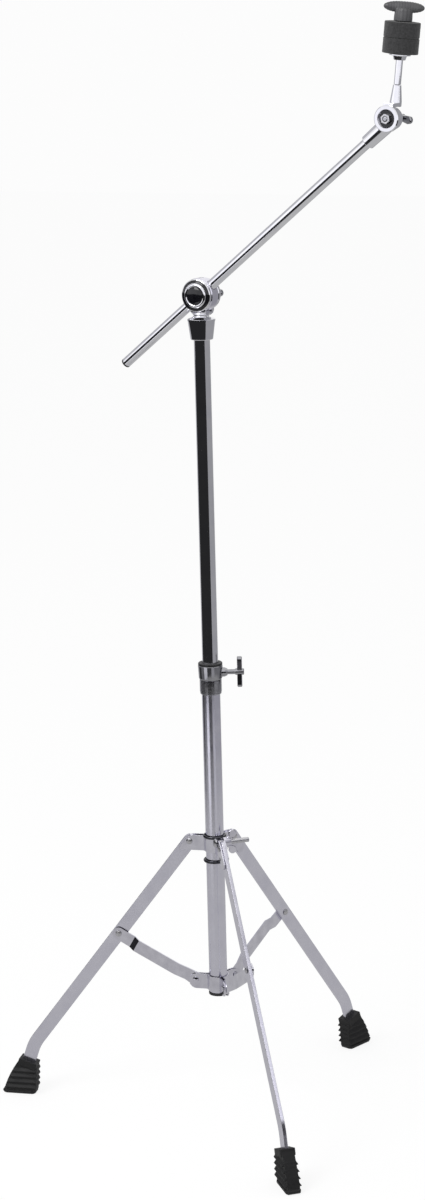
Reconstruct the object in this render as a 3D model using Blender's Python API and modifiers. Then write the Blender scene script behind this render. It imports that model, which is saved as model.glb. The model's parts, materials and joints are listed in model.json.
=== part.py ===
# Boom cymbal stand: a folding tripod of flat legs, a two-piece telescoping mast,
# a ratchet tilter that clamps a boom, and a second ratchet tilter with the cymbal rod.
# Metres, +Z up. The boom points to +X and the mast stands on its own vertical axis.

import bmesh
import bpy
from math import atan2, cos, pi, radians, sin, sqrt, tan
from mathutils import Matrix, Vector

MM = 0.001

# Clearances and mesh fineness
GAP = 0.3 * MM               # between neighbouring pieces
MERGE = 0.00005
TUBE_STEPS = 32              # facets round a tube, cap or felt
SMALL_STEPS = 16             # facets round a rivet, bolt or hole

# Mast
LOWER_TUBE_D = 22.2 * MM
UPPER_TUBE_D = 19.05 * MM
TUBE_WALL = 1.2 * MM
LOWER_TUBE_FOOT = 150.0 * MM     # height of its open lower end
COLLAR_FOOT = 528.0 * MM         # height of the height collar's lower rim
UPPER_TUBE_LENGTH = 535.0 * MM
TILTER_HEIGHT = 1007.0 * MM      # height of the main ratchet's axis

# Height collar, its nylon bushing and wing bolt
COLLAR_HEIGHT = 35.5 * MM
COLLAR_STEP = 18.6 * MM          # height of the narrow lower section
COLLAR_TOP_D = 29.8 * MM
COLLAR_MID_D = 28.2 * MM
COLLAR_LOW_D = 25.8 * MM
BUSHING_WALL = 2.2 * MM
BUSHING_FLANGE_D = 29.2 * MM
BUSHING_FLANGE = 2.6 * MM
COLLAR_BOSS_REACH = 20.4 * MM    # end of the boss, from the mast's axis
COLLAR_BOSS_D = 11.5 * MM
BOLT_ABOVE_STEP = 7.5 * MM       # bolt axis above the top of the narrow section
COLLAR_BOLT_AZIMUTH = 30.0
COLLAR_HUB_REACH = 30.6 * MM     # near end of the bolt's hub, from the mast's axis

# Wing bolts
BOLT_D = 6.0 * MM
HUB_D = 8.0 * MM
HUB_LENGTH = 9.8 * MM
PADDLE_SPAN = 38.0 * MM
PADDLE_WIDTH = 9.0 * MM
PADDLE_THICKNESS = 6.0 * MM
SMALL_PADDLE_SPAN = 29.0 * MM

# Tripod
LEG_AZIMUTHS = {"front": -42.4, "right": 77.6, "left": 197.6}
LEG_PIVOT_R = 31.0 * MM
LEG_PIVOT_HEIGHT = 342.0 * MM
LEG_ANGLE = 37.1                 # from the vertical
LEG_FOOT_ANGLE = 18.5            # from the vertical, inside the foot
LEG_WIDTH = 16.5 * MM
LEG_THICKNESS = 4.4 * MM
LEG_EDGE = 1.2 * MM              # rounding of the flattened tube's edges
LEG_BEND_HEIGHT = 66.0 * MM       # where the two straights would meet
LEG_BEND_R = 55.0 * MM
STAY_ALONG_LEG = 154.5 * MM      # outer rivet, from the leg's pivot
STAY_PIVOT_R = 28.0 * MM
STAY_PIVOT_HEIGHT = 163.5 * MM
STAY_WIDTH = 15.5 * MM
STAY_THICKNESS = 2.0 * MM
STAY_FLAT = 12.0 * MM            # straight inner end, from its rivet
STAY_JOG_FROM = 27.0 * MM        # the jog back to the leg, from the outer rivet
STAY_JOG_TO = 20.0 * MM
STAY_STAND_OFF = 4.5 * MM        # how far the strap runs beside the leg

# Stamped brackets, three plates each
PLATE = 1.6 * MM
PLATE_ABOVE = 8.0 * MM           # above the pivots
PLATE_BELOW = 11.0 * MM          # below the pivots
PLATE_BEND_R = 4.0 * MM
EAR_MARGIN = 5.3 * MM            # ear's outer edge, from the leg's centre line
EAR_INNER_MARGIN = 7.6 * MM
EAR_CORNER_R = 9.0 * MM
SHORT_EAR_REACH = 13.0 * MM      # beyond the pivot
LONG_EAR_ALONG = 26.0 * MM       # along the leg from the pivot
LOWER_EAR_REACH = 8.5 * MM       # beyond the stay's pivot

# Rivets
RIVET_D = 5.0 * MM
RIVET_HEAD_D = 7.8 * MM
RIVET_HEAD = 1.7 * MM

# Bracket's clamp bolt and wing nut, through the front leg's ears
CLAMP_BOLT_R = 19.9 * MM
CLAMP_BOLT_ABOVE = 4.0 * MM
CLAMP_BOLT_TAIL = 37.0 * MM      # end of the thread, from the leg's middle plane
CLAMP_HEAD_D = 11.0 * MM
CLAMP_HEAD = 3.6 * MM
NUT_BASE_D = 12.0 * MM
NUT_BASE = 9.5 * MM
LOBE_R = 5.0 * MM
LOBE_OUT = 10.2 * MM             # lobe's centre, from the bolt's axis
LOBE_UP = 11.8 * MM              # lobe's centre, from the nut's seat
LOBE_THICKNESS = 3.2 * MM

# Rubber feet
FOOT_TOE_OUT = 24.0 * MM         # sole's front end, beyond the open top's outer corner
FOOT_BULGE = 2.6 * MM            # of its front face
FOOT_LENGTH = 43.0 * MM
FOOT_OUTER_HEIGHT = 47.0 * MM
FOOT_TOP_LENGTH = 22.4 * MM      # of its open top, along the slope
FOOT_WIDTH = 15.5 * MM
FOOT_COLLAR_WIDTH = 18.5 * MM
FOOT_COLLAR = 9.0 * MM
FIN_WIDTH = 22.0 * MM
FIN_THICKNESS = 2.2 * MM
FIN_PITCH = 6.6 * MM
FIN_COUNT = 4
SOLE_THICKNESS = 5.0 * MM
FOOT_ROUND = 4.5 * MM            # rounding of the sole's ends
LEG_IN_FOOT = 24.0 * MM

# Main tilter
BOOM_D = 12.0 * MM
BOOM_WALL = 1.2 * MM
CLAMP_WALL = 1.4 * MM            # left in front of and behind the boom
CLAMP_D = 40.0 * MM
CAP_D = 34.6 * MM
CAP_DEPTH = 8.2 * MM
CAP_RIM = 2.6 * MM
EAR_D = 37.0 * MM
EAR_DEPTH = 8.0 * MM
SADDLE_D = 25.0 * MM             # funnel under the clamp
SADDLE_EDGE = 8.0 * MM           # its lower edge, above the flange
WAIST = 3.8 * MM                 # thinnest place, above the flange
WEB_STEP = 5.0 * MM              # rear end of the web, above the waist
TILT_LIMIT = 46.0                # steepest boom, from the horizontal, that clears the funnel's groove
WEB_WIDTH = 16.0 * MM            # the web that carries the rear ear
FLANGE_D = 32.9 * MM
FLANGE_DROP = 27.5 * MM          # flange's top, below the ratchet's axis
FLANGE = 3.0 * MM
CONE_TOP_D = 32.0 * MM
CONE_FOOT_D = 26.6 * MM
CONE_HEIGHT = 21.5 * MM
NECK_D = 18.0 * MM
TUBE_SEAT = 18.0 * MM            # depth of the upper tube in the cone

# Ratchets: radial teeth that stand crest to crest, so they clear at any angle
TOOTH = 1.0 * MM
TEETH = 16
RATCHET_D = 33.0 * MM
RATCHET_BORE_D = 20.0 * MM
SMALL_RATCHET_D = 23.0 * MM
SMALL_RATCHET_BORE_D = 14.0 * MM

# Boom
BOOM_ANGLE = 38.5                # above the horizontal
BOOM_REACH = 325.0 * MM          # from the main ratchet's axis to the end ratchet's
BOOM_TAIL = 134.5 * MM           # behind the main ratchet's axis
TAIL_PLUG_LIP = 2.0 * MM
SPIGOT = 10.0 * MM

# End tilter
SOCKET_D = 18.4 * MM
SOCKET_MOUTH_D = 17.0 * MM
SOCKET_LENGTH = 43.0 * MM        # from its mouth to the end ratchet's axis
SOCKET_DEPTH = 18.0 * MM
SOCKET_DISC_D = 25.0 * MM
SOCKET_DISC_FACE = 12.5 * MM     # in front of the boom's axis
ROD_DISC_D = 29.8 * MM
ROD_DISC = 5.6 * MM
NUT_RECESS_D = 20.0 * MM
NUT_RECESS = 2.2 * MM
NUT_ACROSS = 10.0 * MM
NUT_HEIGHT = 4.0 * MM
ARM_FOOT_D = 13.3 * MM
ARM_TOP_D = 9.2 * MM
ARM_FROM = 12.9 * MM             # lowest point above the end ratchet's axis
ARM_TO = 36.5 * MM
ARM_BRIDGE = 4.4 * MM
ROD_LEAN = 6.4                   # from the vertical, outwards

# Cymbal rod, felts and top nut; heights are along the rod from the end ratchet's axis
ROD_D = 8.0 * MM
ROD_SPIGOT_D = 6.0 * MM
ROD_TOP = 118.0 * MM
CUP_SEAT = 69.8 * MM             # top face of the cup washer
CUP_D = 24.0 * MM
CUP_RIM = 1.6 * MM
CUP_HUB_D = 13.0 * MM
CUP_HUB = 5.0 * MM
SLEEVE_WALL = 1.5 * MM
FELT_D = 40.0 * MM
FELT_HEIGHT = 17.0 * MM
FELT_ROUND = 3.0 * MM
WING_SPAN = 45.6 * MM
WING_END_HEIGHT = 11.4 * MM
WING_THICKNESS = 9.0 * MM
WING_HUB_D = 21.0 * MM
WING_HUB = 9.6 * MM
WING_TOP = 21.6 * MM
WING_AZIMUTH = 30.0

# Plugs of the lower tube and bush of the upper one
PLUG_LIP = 3.0 * MM
PLUG_D = 24.0 * MM
BUSH_LIP = 4.0 * MM

# Half sizes and places that several pieces share
LOWER_TUBE_R = LOWER_TUBE_D / 2
LOWER_BORE_R = LOWER_TUBE_R - TUBE_WALL
UPPER_TUBE_R = UPPER_TUBE_D / 2
UPPER_BORE_R = UPPER_TUBE_R - TUBE_WALL
BOLT_R = BOLT_D / 2
BOLT_HOLE_R = BOLT_R + GAP
RIVET_R = RIVET_D / 2
RIVET_HOLE_R = RIVET_R + GAP
BOOM_R = BOOM_D / 2
BOOM_HOLE_R = BOOM_R + GAP
STEP_HEIGHT = COLLAR_FOOT + COLLAR_STEP
LOWER_TUBE_TOP = STEP_HEIGHT - TUBE_WALL
COLLAR_BOLT_HEIGHT = STEP_HEIGHT + BOLT_ABOVE_STEP
CONE_FOOT = TILTER_HEIGHT - FLANGE_DROP - FLANGE - CONE_HEIGHT
UPPER_TUBE_TOP = CONE_FOOT + TUBE_SEAT
UPPER_TUBE_FOOT = UPPER_TUBE_TOP - UPPER_TUBE_LENGTH
CLAMP_HALF = BOOM_R + GAP + CLAMP_WALL
RATCHET_RIM = 0.3 * MM           # the toothed ring's roots stand this far out of its casting
CLAMP_CREST = CLAMP_HALF + RATCHET_RIM + TOOTH
EAR_CREST = CLAMP_CREST + GAP
EAR_FACE = EAR_CREST + TOOTH + RATCHET_RIM
EAR_BACK = EAR_FACE + EAR_DEPTH
TILT_AXIS = Vector((0.0, 0.0, TILTER_HEIGHT))
BOOM_TURN = Matrix.Rotation(-radians(BOOM_ANGLE), 4, "Y")
BOOM_FRAME = Matrix.Translation(TILT_AXIS) @ BOOM_TURN
END_AXIS = BOOM_FRAME @ Vector((BOOM_REACH, 0.0, 0.0))
ROD_FRAME = Matrix.Translation(END_AXIS) @ Matrix.Rotation(radians(ROD_LEAN), 4, "Y")
SOCKET_CREST = SOCKET_DISC_FACE + RATCHET_RIM + TOOTH
ROD_CREST = SOCKET_CREST + GAP
ROD_DISC_BACK = ROD_CREST + TOOTH + RATCHET_RIM
ROD_DISC_FRONT = ROD_DISC_BACK + ROD_DISC
ROD_FOOT = ARM_FROM + ARM_BRIDGE
SLEEVE_R = ROD_D / 2 + GAP + SLEEVE_WALL
LOWER_FELT_FOOT = CUP_SEAT + GAP
UPPER_FELT_FOOT = LOWER_FELT_FOOT + FELT_HEIGHT + GAP
NUT_SEAT = UPPER_FELT_FOOT + FELT_HEIGHT + GAP
LEG_DOWN = Vector((sin(radians(LEG_ANGLE)), -cos(radians(LEG_ANGLE))))
LEG_OUT = Vector((-LEG_DOWN.y, LEG_DOWN.x))
FOOT_DOWN = Vector((sin(radians(LEG_FOOT_ANGLE)), -cos(radians(LEG_FOOT_ANGLE))))
FOOT_SLOPE = Vector((-FOOT_DOWN.y, FOOT_DOWN.x))
LEG_PIVOT = Vector((LEG_PIVOT_R, LEG_PIVOT_HEIGHT))
LEG_KNEE = LEG_PIVOT + LEG_DOWN * ((LEG_PIVOT_HEIGHT - LEG_BEND_HEIGHT) / -LEG_DOWN.y)
FOOT_ENTRY_HEIGHT = FOOT_OUTER_HEIGHT - FOOT_SLOPE.y * FOOT_TOP_LENGTH / 2
FOOT_ENTRY = LEG_KNEE + FOOT_DOWN * ((LEG_BEND_HEIGHT - FOOT_ENTRY_HEIGHT) / -FOOT_DOWN.y)
FOOT_TOE_R = FOOT_ENTRY.x + FOOT_SLOPE.x * FOOT_TOP_LENGTH / 2 + FOOT_TOE_OUT
STAY_OUTER = LEG_PIVOT + STAY_ALONG_LEG * LEG_DOWN
STAY_RUN = STAY_OUTER - Vector((STAY_PIVOT_R, STAY_PIVOT_HEIGHT))
STAY_LENGTH = STAY_RUN.length
STAY_SIDE = LEG_THICKNESS / 2 + GAP + STAY_THICKNESS / 2
UPPER_EAR_SIDE = LEG_THICKNESS / 2 + GAP + PLATE / 2
LOWER_EAR_SIDE = STAY_THICKNESS / 2 + GAP + PLATE / 2
NUT_SIDE = UPPER_EAR_SIDE + PLATE / 2 + GAP

FINISHES = {
    "chrome": ((0.60, 0.60, 0.63), 0.10, 1.0),
    "satin_chrome": ((0.52, 0.52, 0.56), 0.30, 1.0),
    "zinc": ((0.48, 0.48, 0.50), 0.35, 1.0),
    "nylon": ((0.02, 0.02, 0.02), 0.45, 0.0),
    "plastic": ((0.06, 0.06, 0.065), 0.40, 0.0),
    "rubber": ((0.014, 0.014, 0.016), 0.65, 0.0),
    "felt": ((0.055, 0.055, 0.058), 0.95, 0.0),
}

bodies = {}          # joint empties by body name
places = {}          # where each of them stands


def clear_scene():
    for obj in list(bpy.data.objects):
        bpy.data.objects.remove(obj, do_unlink=True)


def new_collection(name):
    collection = bpy.data.collections.new(name)
    bpy.context.scene.collection.children.link(collection)
    return collection


def finish_of(key):
    material = bpy.data.materials.get(key)
    if material is None:
        colour, roughness, metallic = FINISHES[key]
        material = bpy.data.materials.new(key)
        material.use_nodes = True
        shader = material.node_tree.nodes["Principled BSDF"]
        shader.inputs["Base Color"].default_value = (*colour, 1.0)
        shader.inputs["Roughness"].default_value = roughness
        shader.inputs["Metallic"].default_value = metallic
        material.diffuse_color = (*colour, 1.0)
    return material


def add_body(name, at, parent=None):
    """An empty on a body's joint axis, which carries the body's pieces."""
    empty = bpy.data.objects.new("joint_" + name, None)
    empty.empty_display_size = 0.02
    parts.objects.link(empty)
    if parent:
        empty.parent = bodies[parent]
        empty.matrix_parent_inverse = Matrix.Translation(-places[parent])
    empty.location = at
    bodies[name] = empty
    places[name] = Vector(at)


def carry(obj, body, matrix):
    """Parents an object to a body and puts it at a place in the world."""
    obj.parent = bodies[body]
    obj.matrix_parent_inverse = Matrix.Translation(-places[body])
    obj.matrix_basis = matrix


def piece(name, obj, body, finish, matrix=Matrix()):
    """Makes a shape a named piece of a body."""
    obj.name = name
    obj.data.name = name
    parts.objects.link(obj)
    carry(obj, body, matrix)
    obj.data.materials.clear()
    obj.data.materials.append(finish_of(finish))
    return obj


def combine(obj, other, operation, matrix=None):
    """Cuts or joins another shape, which stays as a guide. Its place is in the world."""
    cutters.objects.link(other)
    carry(other, next(name for name in bodies if bodies[name] == obj.parent),
          obj.matrix_basis if matrix is None else matrix)
    other.name = obj.name + "_guide"
    other.hide_render = True
    other.display_type = "WIRE"
    boolean = obj.modifiers.new(operation.title(), "BOOLEAN")
    boolean.object = other
    boolean.operation = operation
    boolean.solver = "EXACT"


def cut(obj, other, matrix=None):
    combine(obj, other, "DIFFERENCE", matrix)


def join(obj, other, matrix=None):
    combine(obj, other, "UNION", matrix)


def turned(profile, steps=TUBE_STEPS, ring=False):
    """Turns a profile of (radius, height) points about Z; it runs down its outer side."""
    edges = [(i, i + 1) for i in range(len(profile) - 1)]
    if ring:
        edges.append((len(profile) - 1, 0))
    mesh = bpy.data.meshes.new("turned")
    mesh.from_pydata([(r, 0.0, z) for r, z in profile], edges, [])
    obj = bpy.data.objects.new("turned", mesh)
    screw = obj.modifiers.new("Turn", "SCREW")
    screw.steps = screw.render_steps = steps
    screw.use_merge_vertices = True
    screw.merge_threshold = MERGE
    screw.use_smooth_shade = True
    return obj


def rod(radius, low, high, steps=SMALL_STEPS):
    """A round bar along Z, turned half a facet so that it never meets a fan's edges."""
    place = Matrix.Translation((0.0, 0.0, (low + high) / 2)) @ Matrix.Rotation(pi / 2 / steps, 4, "Z")
    mesh = bpy.data.meshes.new("rod")
    bm = bmesh.new()
    bmesh.ops.create_cone(bm, cap_ends=True, segments=steps, radius1=radius, radius2=radius,
                          depth=high - low, matrix=place)
    bm.to_mesh(mesh)
    bm.free()
    return bpy.data.objects.new("rod", mesh)


def block(low, high):
    """A box between two corners."""
    low, high = Vector(low), Vector(high)
    size = Matrix.Diagonal((*(high - low), 1.0))
    mesh = bpy.data.meshes.new("block")
    bm = bmesh.new()
    bmesh.ops.create_cube(bm, size=1.0, matrix=Matrix.Translation((low + high) / 2) @ size)
    bm.to_mesh(mesh)
    bm.free()
    return bpy.data.objects.new("block", mesh)


def flat(outline, thickness):
    """A flat outline in X and Y, as thick as asked along Z."""
    curve = bpy.data.curves.new("outline", "CURVE")
    curve.dimensions = "2D"
    curve.fill_mode = "BOTH"
    curve.extrude = thickness / 2
    spline = curve.splines.new("POLY")
    spline.points.add(len(outline) - 1)
    for point, (x, y) in zip(spline.points, outline):
        point.co = (x, y, 0.0, 1.0)
    spline.use_cyclic_u = True
    source = bpy.data.objects.new("outline", curve)
    cutters.objects.link(source)
    ready = source.evaluated_get(bpy.context.evaluated_depsgraph_get())
    mesh = bpy.data.meshes.new_from_object(ready)
    bpy.data.objects.remove(source, do_unlink=True)
    bm = bmesh.new()
    bm.from_mesh(mesh)
    bmesh.ops.remove_doubles(bm, verts=bm.verts, dist=MERGE / 10)
    bmesh.ops.recalc_face_normals(bm, faces=bm.faces)
    bm.to_mesh(mesh)
    bm.free()
    return bpy.data.objects.new("flat", mesh)


def strip(stations, thickness):
    """A bent sheet: stations are (x, y, low, high) along its plan."""
    mesh = bpy.data.meshes.new("strip")
    bm = bmesh.new()
    rows = [(bm.verts.new((x, y, low)), bm.verts.new((x, y, high))) for x, y, low, high in stations]
    for (low, high), (next_low, next_high) in zip(rows, rows[1:]):
        bm.faces.new((low, next_low, next_high, high))
    bm.to_mesh(mesh)
    bm.free()
    obj = bpy.data.objects.new("strip", mesh)
    solidify = obj.modifiers.new("Sheet", "SOLIDIFY")
    solidify.thickness = thickness
    solidify.offset = 0.0
    solidify.use_even_offset = True
    return obj


def bevel(obj, width, segments=2, angle=40.0):
    modifier = obj.modifiers.new("Round", "BEVEL")
    modifier.width = width
    modifier.segments = segments
    modifier.limit_method = "ANGLE"
    modifier.angle_limit = radians(angle)
    return obj


def arc(centre, radius, start, end, count):
    """Points on a round stretch; angles in degrees."""
    angles = [radians(start + (end - start) * i / count) for i in range(count + 1)]
    return [(centre[0] + radius * cos(a), centre[1] + radius * sin(a)) for a in angles]


def toothed_ring(outer, bore, root, crest, back):
    """A ratchet's face along +Z: a ring whose upper rim goes up and down between teeth.

    It is turned a quarter facet, so that its teeth never meet the edges of its casting's fan.
    """
    ring = turned([(outer, root), (outer, back), (bore, back), (bore, root)], TEETH * 2, ring=True)
    parts.objects.link(ring)
    ready = ring.evaluated_get(bpy.context.evaluated_depsgraph_get())
    mesh = bpy.data.meshes.new_from_object(ready)
    bpy.data.objects.remove(ring, do_unlink=True)
    for vert in mesh.vertices:
        turn = round(atan2(vert.co.y, vert.co.x) / (pi / TEETH))
        if abs(vert.co.z - root) < MERGE and turn % 2 == 0:
            vert.co.z = crest
    mesh.transform(Matrix.Rotation(pi / 4 / TEETH, 4, "Z"))
    return bpy.data.objects.new("ratchet", mesh)


def leg_frame(leg):
    """X outwards along the leg, Y to its left side seen from outside the mast, Z up."""
    return Matrix.Rotation(radians(LEG_AZIMUTHS[leg]), 4, "Z")


# A flat outline of (radius, height) points stands up in the leg's plane
STAND_UP = Matrix.Rotation(pi / 2, 4, "X")
# A turned shape's axis along the leg's left side, along the boom, and along the ratchets
ALONG_SIDE = Matrix.Rotation(-pi / 2, 4, "X")
ALONG_BOOM = Matrix.Rotation(pi / 2, 4, "Y")
TO_BACK = Matrix.Rotation(-pi / 2, 4, "X")
TO_FRONT = Matrix.Rotation(pi / 2, 4, "X")


def make_mast_base():
    bore = LOWER_BORE_R
    piece("lower_tube", turned([(LOWER_TUBE_R, LOWER_TUBE_TOP), (LOWER_TUBE_R, LOWER_TUBE_FOOT),
                                (bore, LOWER_TUBE_FOOT), (bore, LOWER_TUBE_TOP)], ring=True),
          "base", "satin_chrome")
    lip_top = LOWER_TUBE_FOOT - GAP
    spigot = bore - GAP
    piece("lower_tube_plug",
          turned([(0.0, LOWER_TUBE_FOOT + SPIGOT), (spigot, LOWER_TUBE_FOOT + SPIGOT),
                  (spigot, lip_top), (PLUG_D / 2, lip_top), (PLUG_D / 2, lip_top - PLUG_LIP),
                  (0.0, lip_top - PLUG_LIP)]), "base", "nylon")


def bolt_guide(radius, near, far, height, azimuth):
    """A round guide that lies radially at a height of the mast, and its place."""
    place = (Matrix.Rotation(radians(azimuth), 4, "Z") @ Matrix.Translation((0.0, 0.0, height))
             @ ALONG_BOOM)
    return rod(radius, near, far), place


def make_height_collar():
    top = COLLAR_FOOT + COLLAR_HEIGHT
    top_r, mid_r, low_r = COLLAR_TOP_D / 2, COLLAR_MID_D / 2, COLLAR_LOW_D / 2
    rim = 0.6 * MM
    tube_bore = LOWER_TUBE_R + GAP
    shoulder = LOWER_TUBE_TOP + GAP
    bushing_r = UPPER_TUBE_R + GAP + BUSHING_WALL
    bushing_bore = bushing_r + GAP
    profile = [(top_r - rim, top), (top_r, top - rim), (mid_r, STEP_HEIGHT + 2 * rim),
               (mid_r - rim, STEP_HEIGHT), (low_r, STEP_HEIGHT - rim),
               (low_r - rim, COLLAR_FOOT + 3 * rim), (low_r, COLLAR_FOOT + 2 * rim),
               (low_r, COLLAR_FOOT + rim), (low_r - rim, COLLAR_FOOT), (tube_bore, COLLAR_FOOT),
               (tube_bore, shoulder), (bushing_bore, shoulder), (bushing_bore, top)]
    collar = piece("height_collar", turned(profile, ring=True), "base", "chrome")
    boss_r = COLLAR_BOSS_D / 2
    _, place = bolt_guide(boss_r, 0.0, 1.0, COLLAR_BOLT_HEIGHT, COLLAR_BOLT_AZIMUTH)
    near = (bushing_bore + mid_r) / 2
    join(collar, turned([(0.0, COLLAR_BOSS_REACH), (boss_r * 0.72, COLLAR_BOSS_REACH),
                         (boss_r, (near + COLLAR_BOSS_REACH) / 2), (boss_r, near), (0.0, near)],
                        SMALL_STEPS), place)
    hole, place = bolt_guide(BOLT_HOLE_R, UPPER_TUBE_R, COLLAR_BOSS_REACH + BOLT_D,
                             COLLAR_BOLT_HEIGHT, COLLAR_BOLT_AZIMUTH)
    cut(collar, hole, place)

    foot = shoulder + GAP
    flange_foot = top + GAP
    flange_top = flange_foot + BUSHING_FLANGE
    bore = UPPER_TUBE_R + GAP
    flange_r = BUSHING_FLANGE_D / 2
    bushing = piece("collar_bushing",
                    turned([(flange_r - rim, flange_top), (flange_r, flange_top - rim),
                            (flange_r, flange_foot), (bushing_r, flange_foot), (bushing_r, foot),
                            (bore, foot), (bore, flange_top)], ring=True), "base", "nylon")
    hole, place = bolt_guide(BOLT_HOLE_R, UPPER_TUBE_R, COLLAR_BOSS_REACH,
                             COLLAR_BOLT_HEIGHT, COLLAR_BOLT_AZIMUTH)
    cut(bushing, hole, place)


def wing_bolt(name, body, matrix, shank, span):
    """A bolt with two paddles. Its tip is at the matrix's origin and its hub is along +Z."""
    hub_r = HUB_D / 2
    chamfer = 0.8 * MM
    end = shank + HUB_LENGTH
    neck = shank - 2 * chamfer
    bolt = piece(name, turned([(0.0, end), (hub_r - chamfer, end), (hub_r, end - chamfer),
                               (hub_r, shank), (BOLT_R, neck), (BOLT_R, chamfer),
                               (BOLT_R - chamfer, 0.0), (0.0, 0.0)], SMALL_STEPS),
                 body, "chrome", matrix)
    end_r = PADDLE_WIDTH / 2
    middle = span / 2 - end_r
    waist = hub_r * 0.8
    outline = (arc((middle, 0.0), end_r, -80.0, 80.0, 6) + [(0.0, waist)]
               + arc((-middle, 0.0), end_r, 100.0, 260.0, 6) + [(0.0, -waist)])
    paddles = bevel(flat(outline, PADDLE_THICKNESS), 1.2 * MM, 1)
    join(bolt, paddles, matrix @ Matrix.Translation((0.0, 0.0, shank + 0.45 * HUB_LENGTH)))
    return bolt


def ear_edges(r, long_ear):
    """Lowest and highest point of an upper bracket's ear, at a radius, from the pivot's level."""
    out = r - LEG_PIVOT_R
    turn = radians(90.0 - LEG_ANGLE)
    corner = LEG_PIVOT_R + (EAR_MARGIN - PLATE_ABOVE * LEG_OUT.y) / LEG_OUT.x
    tangent = EAR_CORNER_R * tan(turn / 2)
    start = corner - tangent
    if r <= start:
        high = PLATE_ABOVE
    elif r <= corner + tangent * LEG_DOWN.x:
        high = PLATE_ABOVE - EAR_CORNER_R + sqrt(EAR_CORNER_R ** 2 - (r - start) ** 2)
    else:
        high = (EAR_MARGIN - out * LEG_OUT.x) / LEG_OUT.y
    low = -PLATE_BELOW
    if long_ear:
        side = (-EAR_INNER_MARGIN - out * LEG_OUT.x) / LEG_OUT.y
        end = (out * LEG_DOWN.x - LONG_EAR_ALONG) / -LEG_DOWN.y
        low = max(min(low, side), end)
    return low, high


def lower_ear_edges(r):
    """Lowest and highest point of a lower bracket's ear, from the pivot's level."""
    middle = (PLATE_ABOVE - PLATE_BELOW) / 2
    half = (PLATE_ABOVE + PLATE_BELOW) / 2
    start = STAY_PIVOT_R + LOWER_EAR_REACH - half
    if r > start:
        half = sqrt(max(half ** 2 - (r - start) ** 2, 0.0))
    return middle - half, middle + half


def plate_stations(side, short_reach, long_reach, short_edges, long_edges, count=7):
    """Plan of a stamped plate's middle: in along one leg, round the tube, out along the next."""
    wrap = LOWER_TUBE_R + GAP + PLATE / 2
    bend_x = sqrt((wrap + PLATE_BEND_R) ** 2 - (side + PLATE_BEND_R) ** 2)
    meet = atan2(side + PLATE_BEND_R, bend_x) * 180.0 / pi
    stations = []

    def ear(reach, edges):
        radii = [bend_x + (reach - bend_x) * i / count for i in range(count, 0, -1)]
        return [(r, side, *edges(r)) for r in radii]

    corner = [(x, y, -PLATE_BELOW, PLATE_ABOVE)
              for x, y in arc((bend_x, side + PLATE_BEND_R), PLATE_BEND_R, -90.0, meet - 180.0, 3)]
    round_tube = [(x, y, -PLATE_BELOW, PLATE_ABOVE)
                  for x, y in arc((0.0, 0.0), wrap, meet, 120.0 - meet, 8)]
    stations += ear(short_reach, short_edges) + corner + round_tube[1:-1]
    mirrored = []
    for x, y, low, high in ear(long_reach, long_edges) + corner:
        c, s = cos(radians(120.0)), sin(radians(120.0))
        mirrored.append((x * c + y * s, x * s - y * c, low, high))
    return stations + mirrored[::-1]


def make_bracket(name, body, height, stations, holes, finish="satin_chrome"):
    """Three alike plates round the tube; holes are (leg, radius, height, size) with both ears cut."""
    legs = list(LEG_AZIMUTHS)
    for index, leg in enumerate(legs):
        place = leg_frame(leg) @ Matrix.Translation((0.0, 0.0, height))
        plate = piece(f"{name}_{index + 1}", strip(stations, PLATE), body, finish, place)
        following = legs[(index + 1) % len(legs)]
        for hole_leg, r, z, size in holes:
            if hole_leg not in (leg, following):
                continue
            half = LEG_THICKNESS + PLATE * 2
            side = half if hole_leg == leg else 0.0
            guide = rod(size, side - half, side)
            cut(plate, guide, leg_frame(hole_leg) @ Matrix.Translation((r, 0.0, height + z))
                @ ALONG_SIDE)


def rivet_profile(length, second_head=True):
    """A rivet along Z: the head's underside is at 0 and the shank runs down to -length."""
    head_r = RIVET_HEAD_D / 2
    edge = RIVET_HEAD * 0.35
    dome = [(0.0, RIVET_HEAD), (head_r * 0.6, RIVET_HEAD * 0.82), (head_r, edge),
            (head_r, 0.0), (RIVET_R, 0.0)]
    if not second_head:
        return dome + [(RIVET_R, -length), (0.0, -length)]
    return dome + [(r, -length - z) for r, z in reversed(dome)]


def make_rivets(name, body, radius, height, side):
    """A rivet through each of a bracket's three pairs of ears."""
    for leg in LEG_AZIMUTHS:
        place = leg_frame(leg) @ Matrix.Translation((radius, side, height)) @ ALONG_SIDE
        piece(f"{name}_{leg}", turned(rivet_profile(2 * side), SMALL_STEPS), body, "zinc", place)


def leg_path(deeper):
    """Centre line of a leg in (radius, height), from its pivot down to its end in the foot."""
    tangent = LEG_BEND_R * tan(radians(LEG_ANGLE - LEG_FOOT_ANGLE) / 2)
    start = LEG_KNEE - LEG_DOWN * tangent
    centre = start - LEG_OUT * LEG_BEND_R
    bend = [Vector(p) for p in arc(centre, LEG_BEND_R, LEG_ANGLE, LEG_FOOT_ANGLE, 5)]
    return [LEG_PIVOT] + bend + [FOOT_ENTRY + FOOT_DOWN * (LEG_IN_FOOT + deeper)]


def leg_outline(half, deeper=0.0):
    """A leg's side outline, at a half width, with a round top end about its pivot."""
    path = leg_path(deeper)
    sides = [[], []]
    for i, point in enumerate(path):
        after = path[min(i + 1, len(path) - 1)] - path[max(i, 1) - 1 if i else 0]
        along = after.normalized()
        out = Vector((-along.y, along.x))
        sides[0].append(point + out * half)
        sides[1].append(point - out * half)
    pivot = path[0]
    top = arc(pivot, half, LEG_ANGLE, LEG_ANGLE + 180.0, 9)
    return [tuple(p) for p in reversed(sides[0][1:])] + top + [tuple(p) for p in sides[1][1:]]


def foot_corners():
    """Outer and inner corner of a foot's open top, either side of the leg that enters it."""
    half = FOOT_SLOPE * FOOT_TOP_LENGTH / 2
    return FOOT_ENTRY + half, FOOT_ENTRY - half


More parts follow.
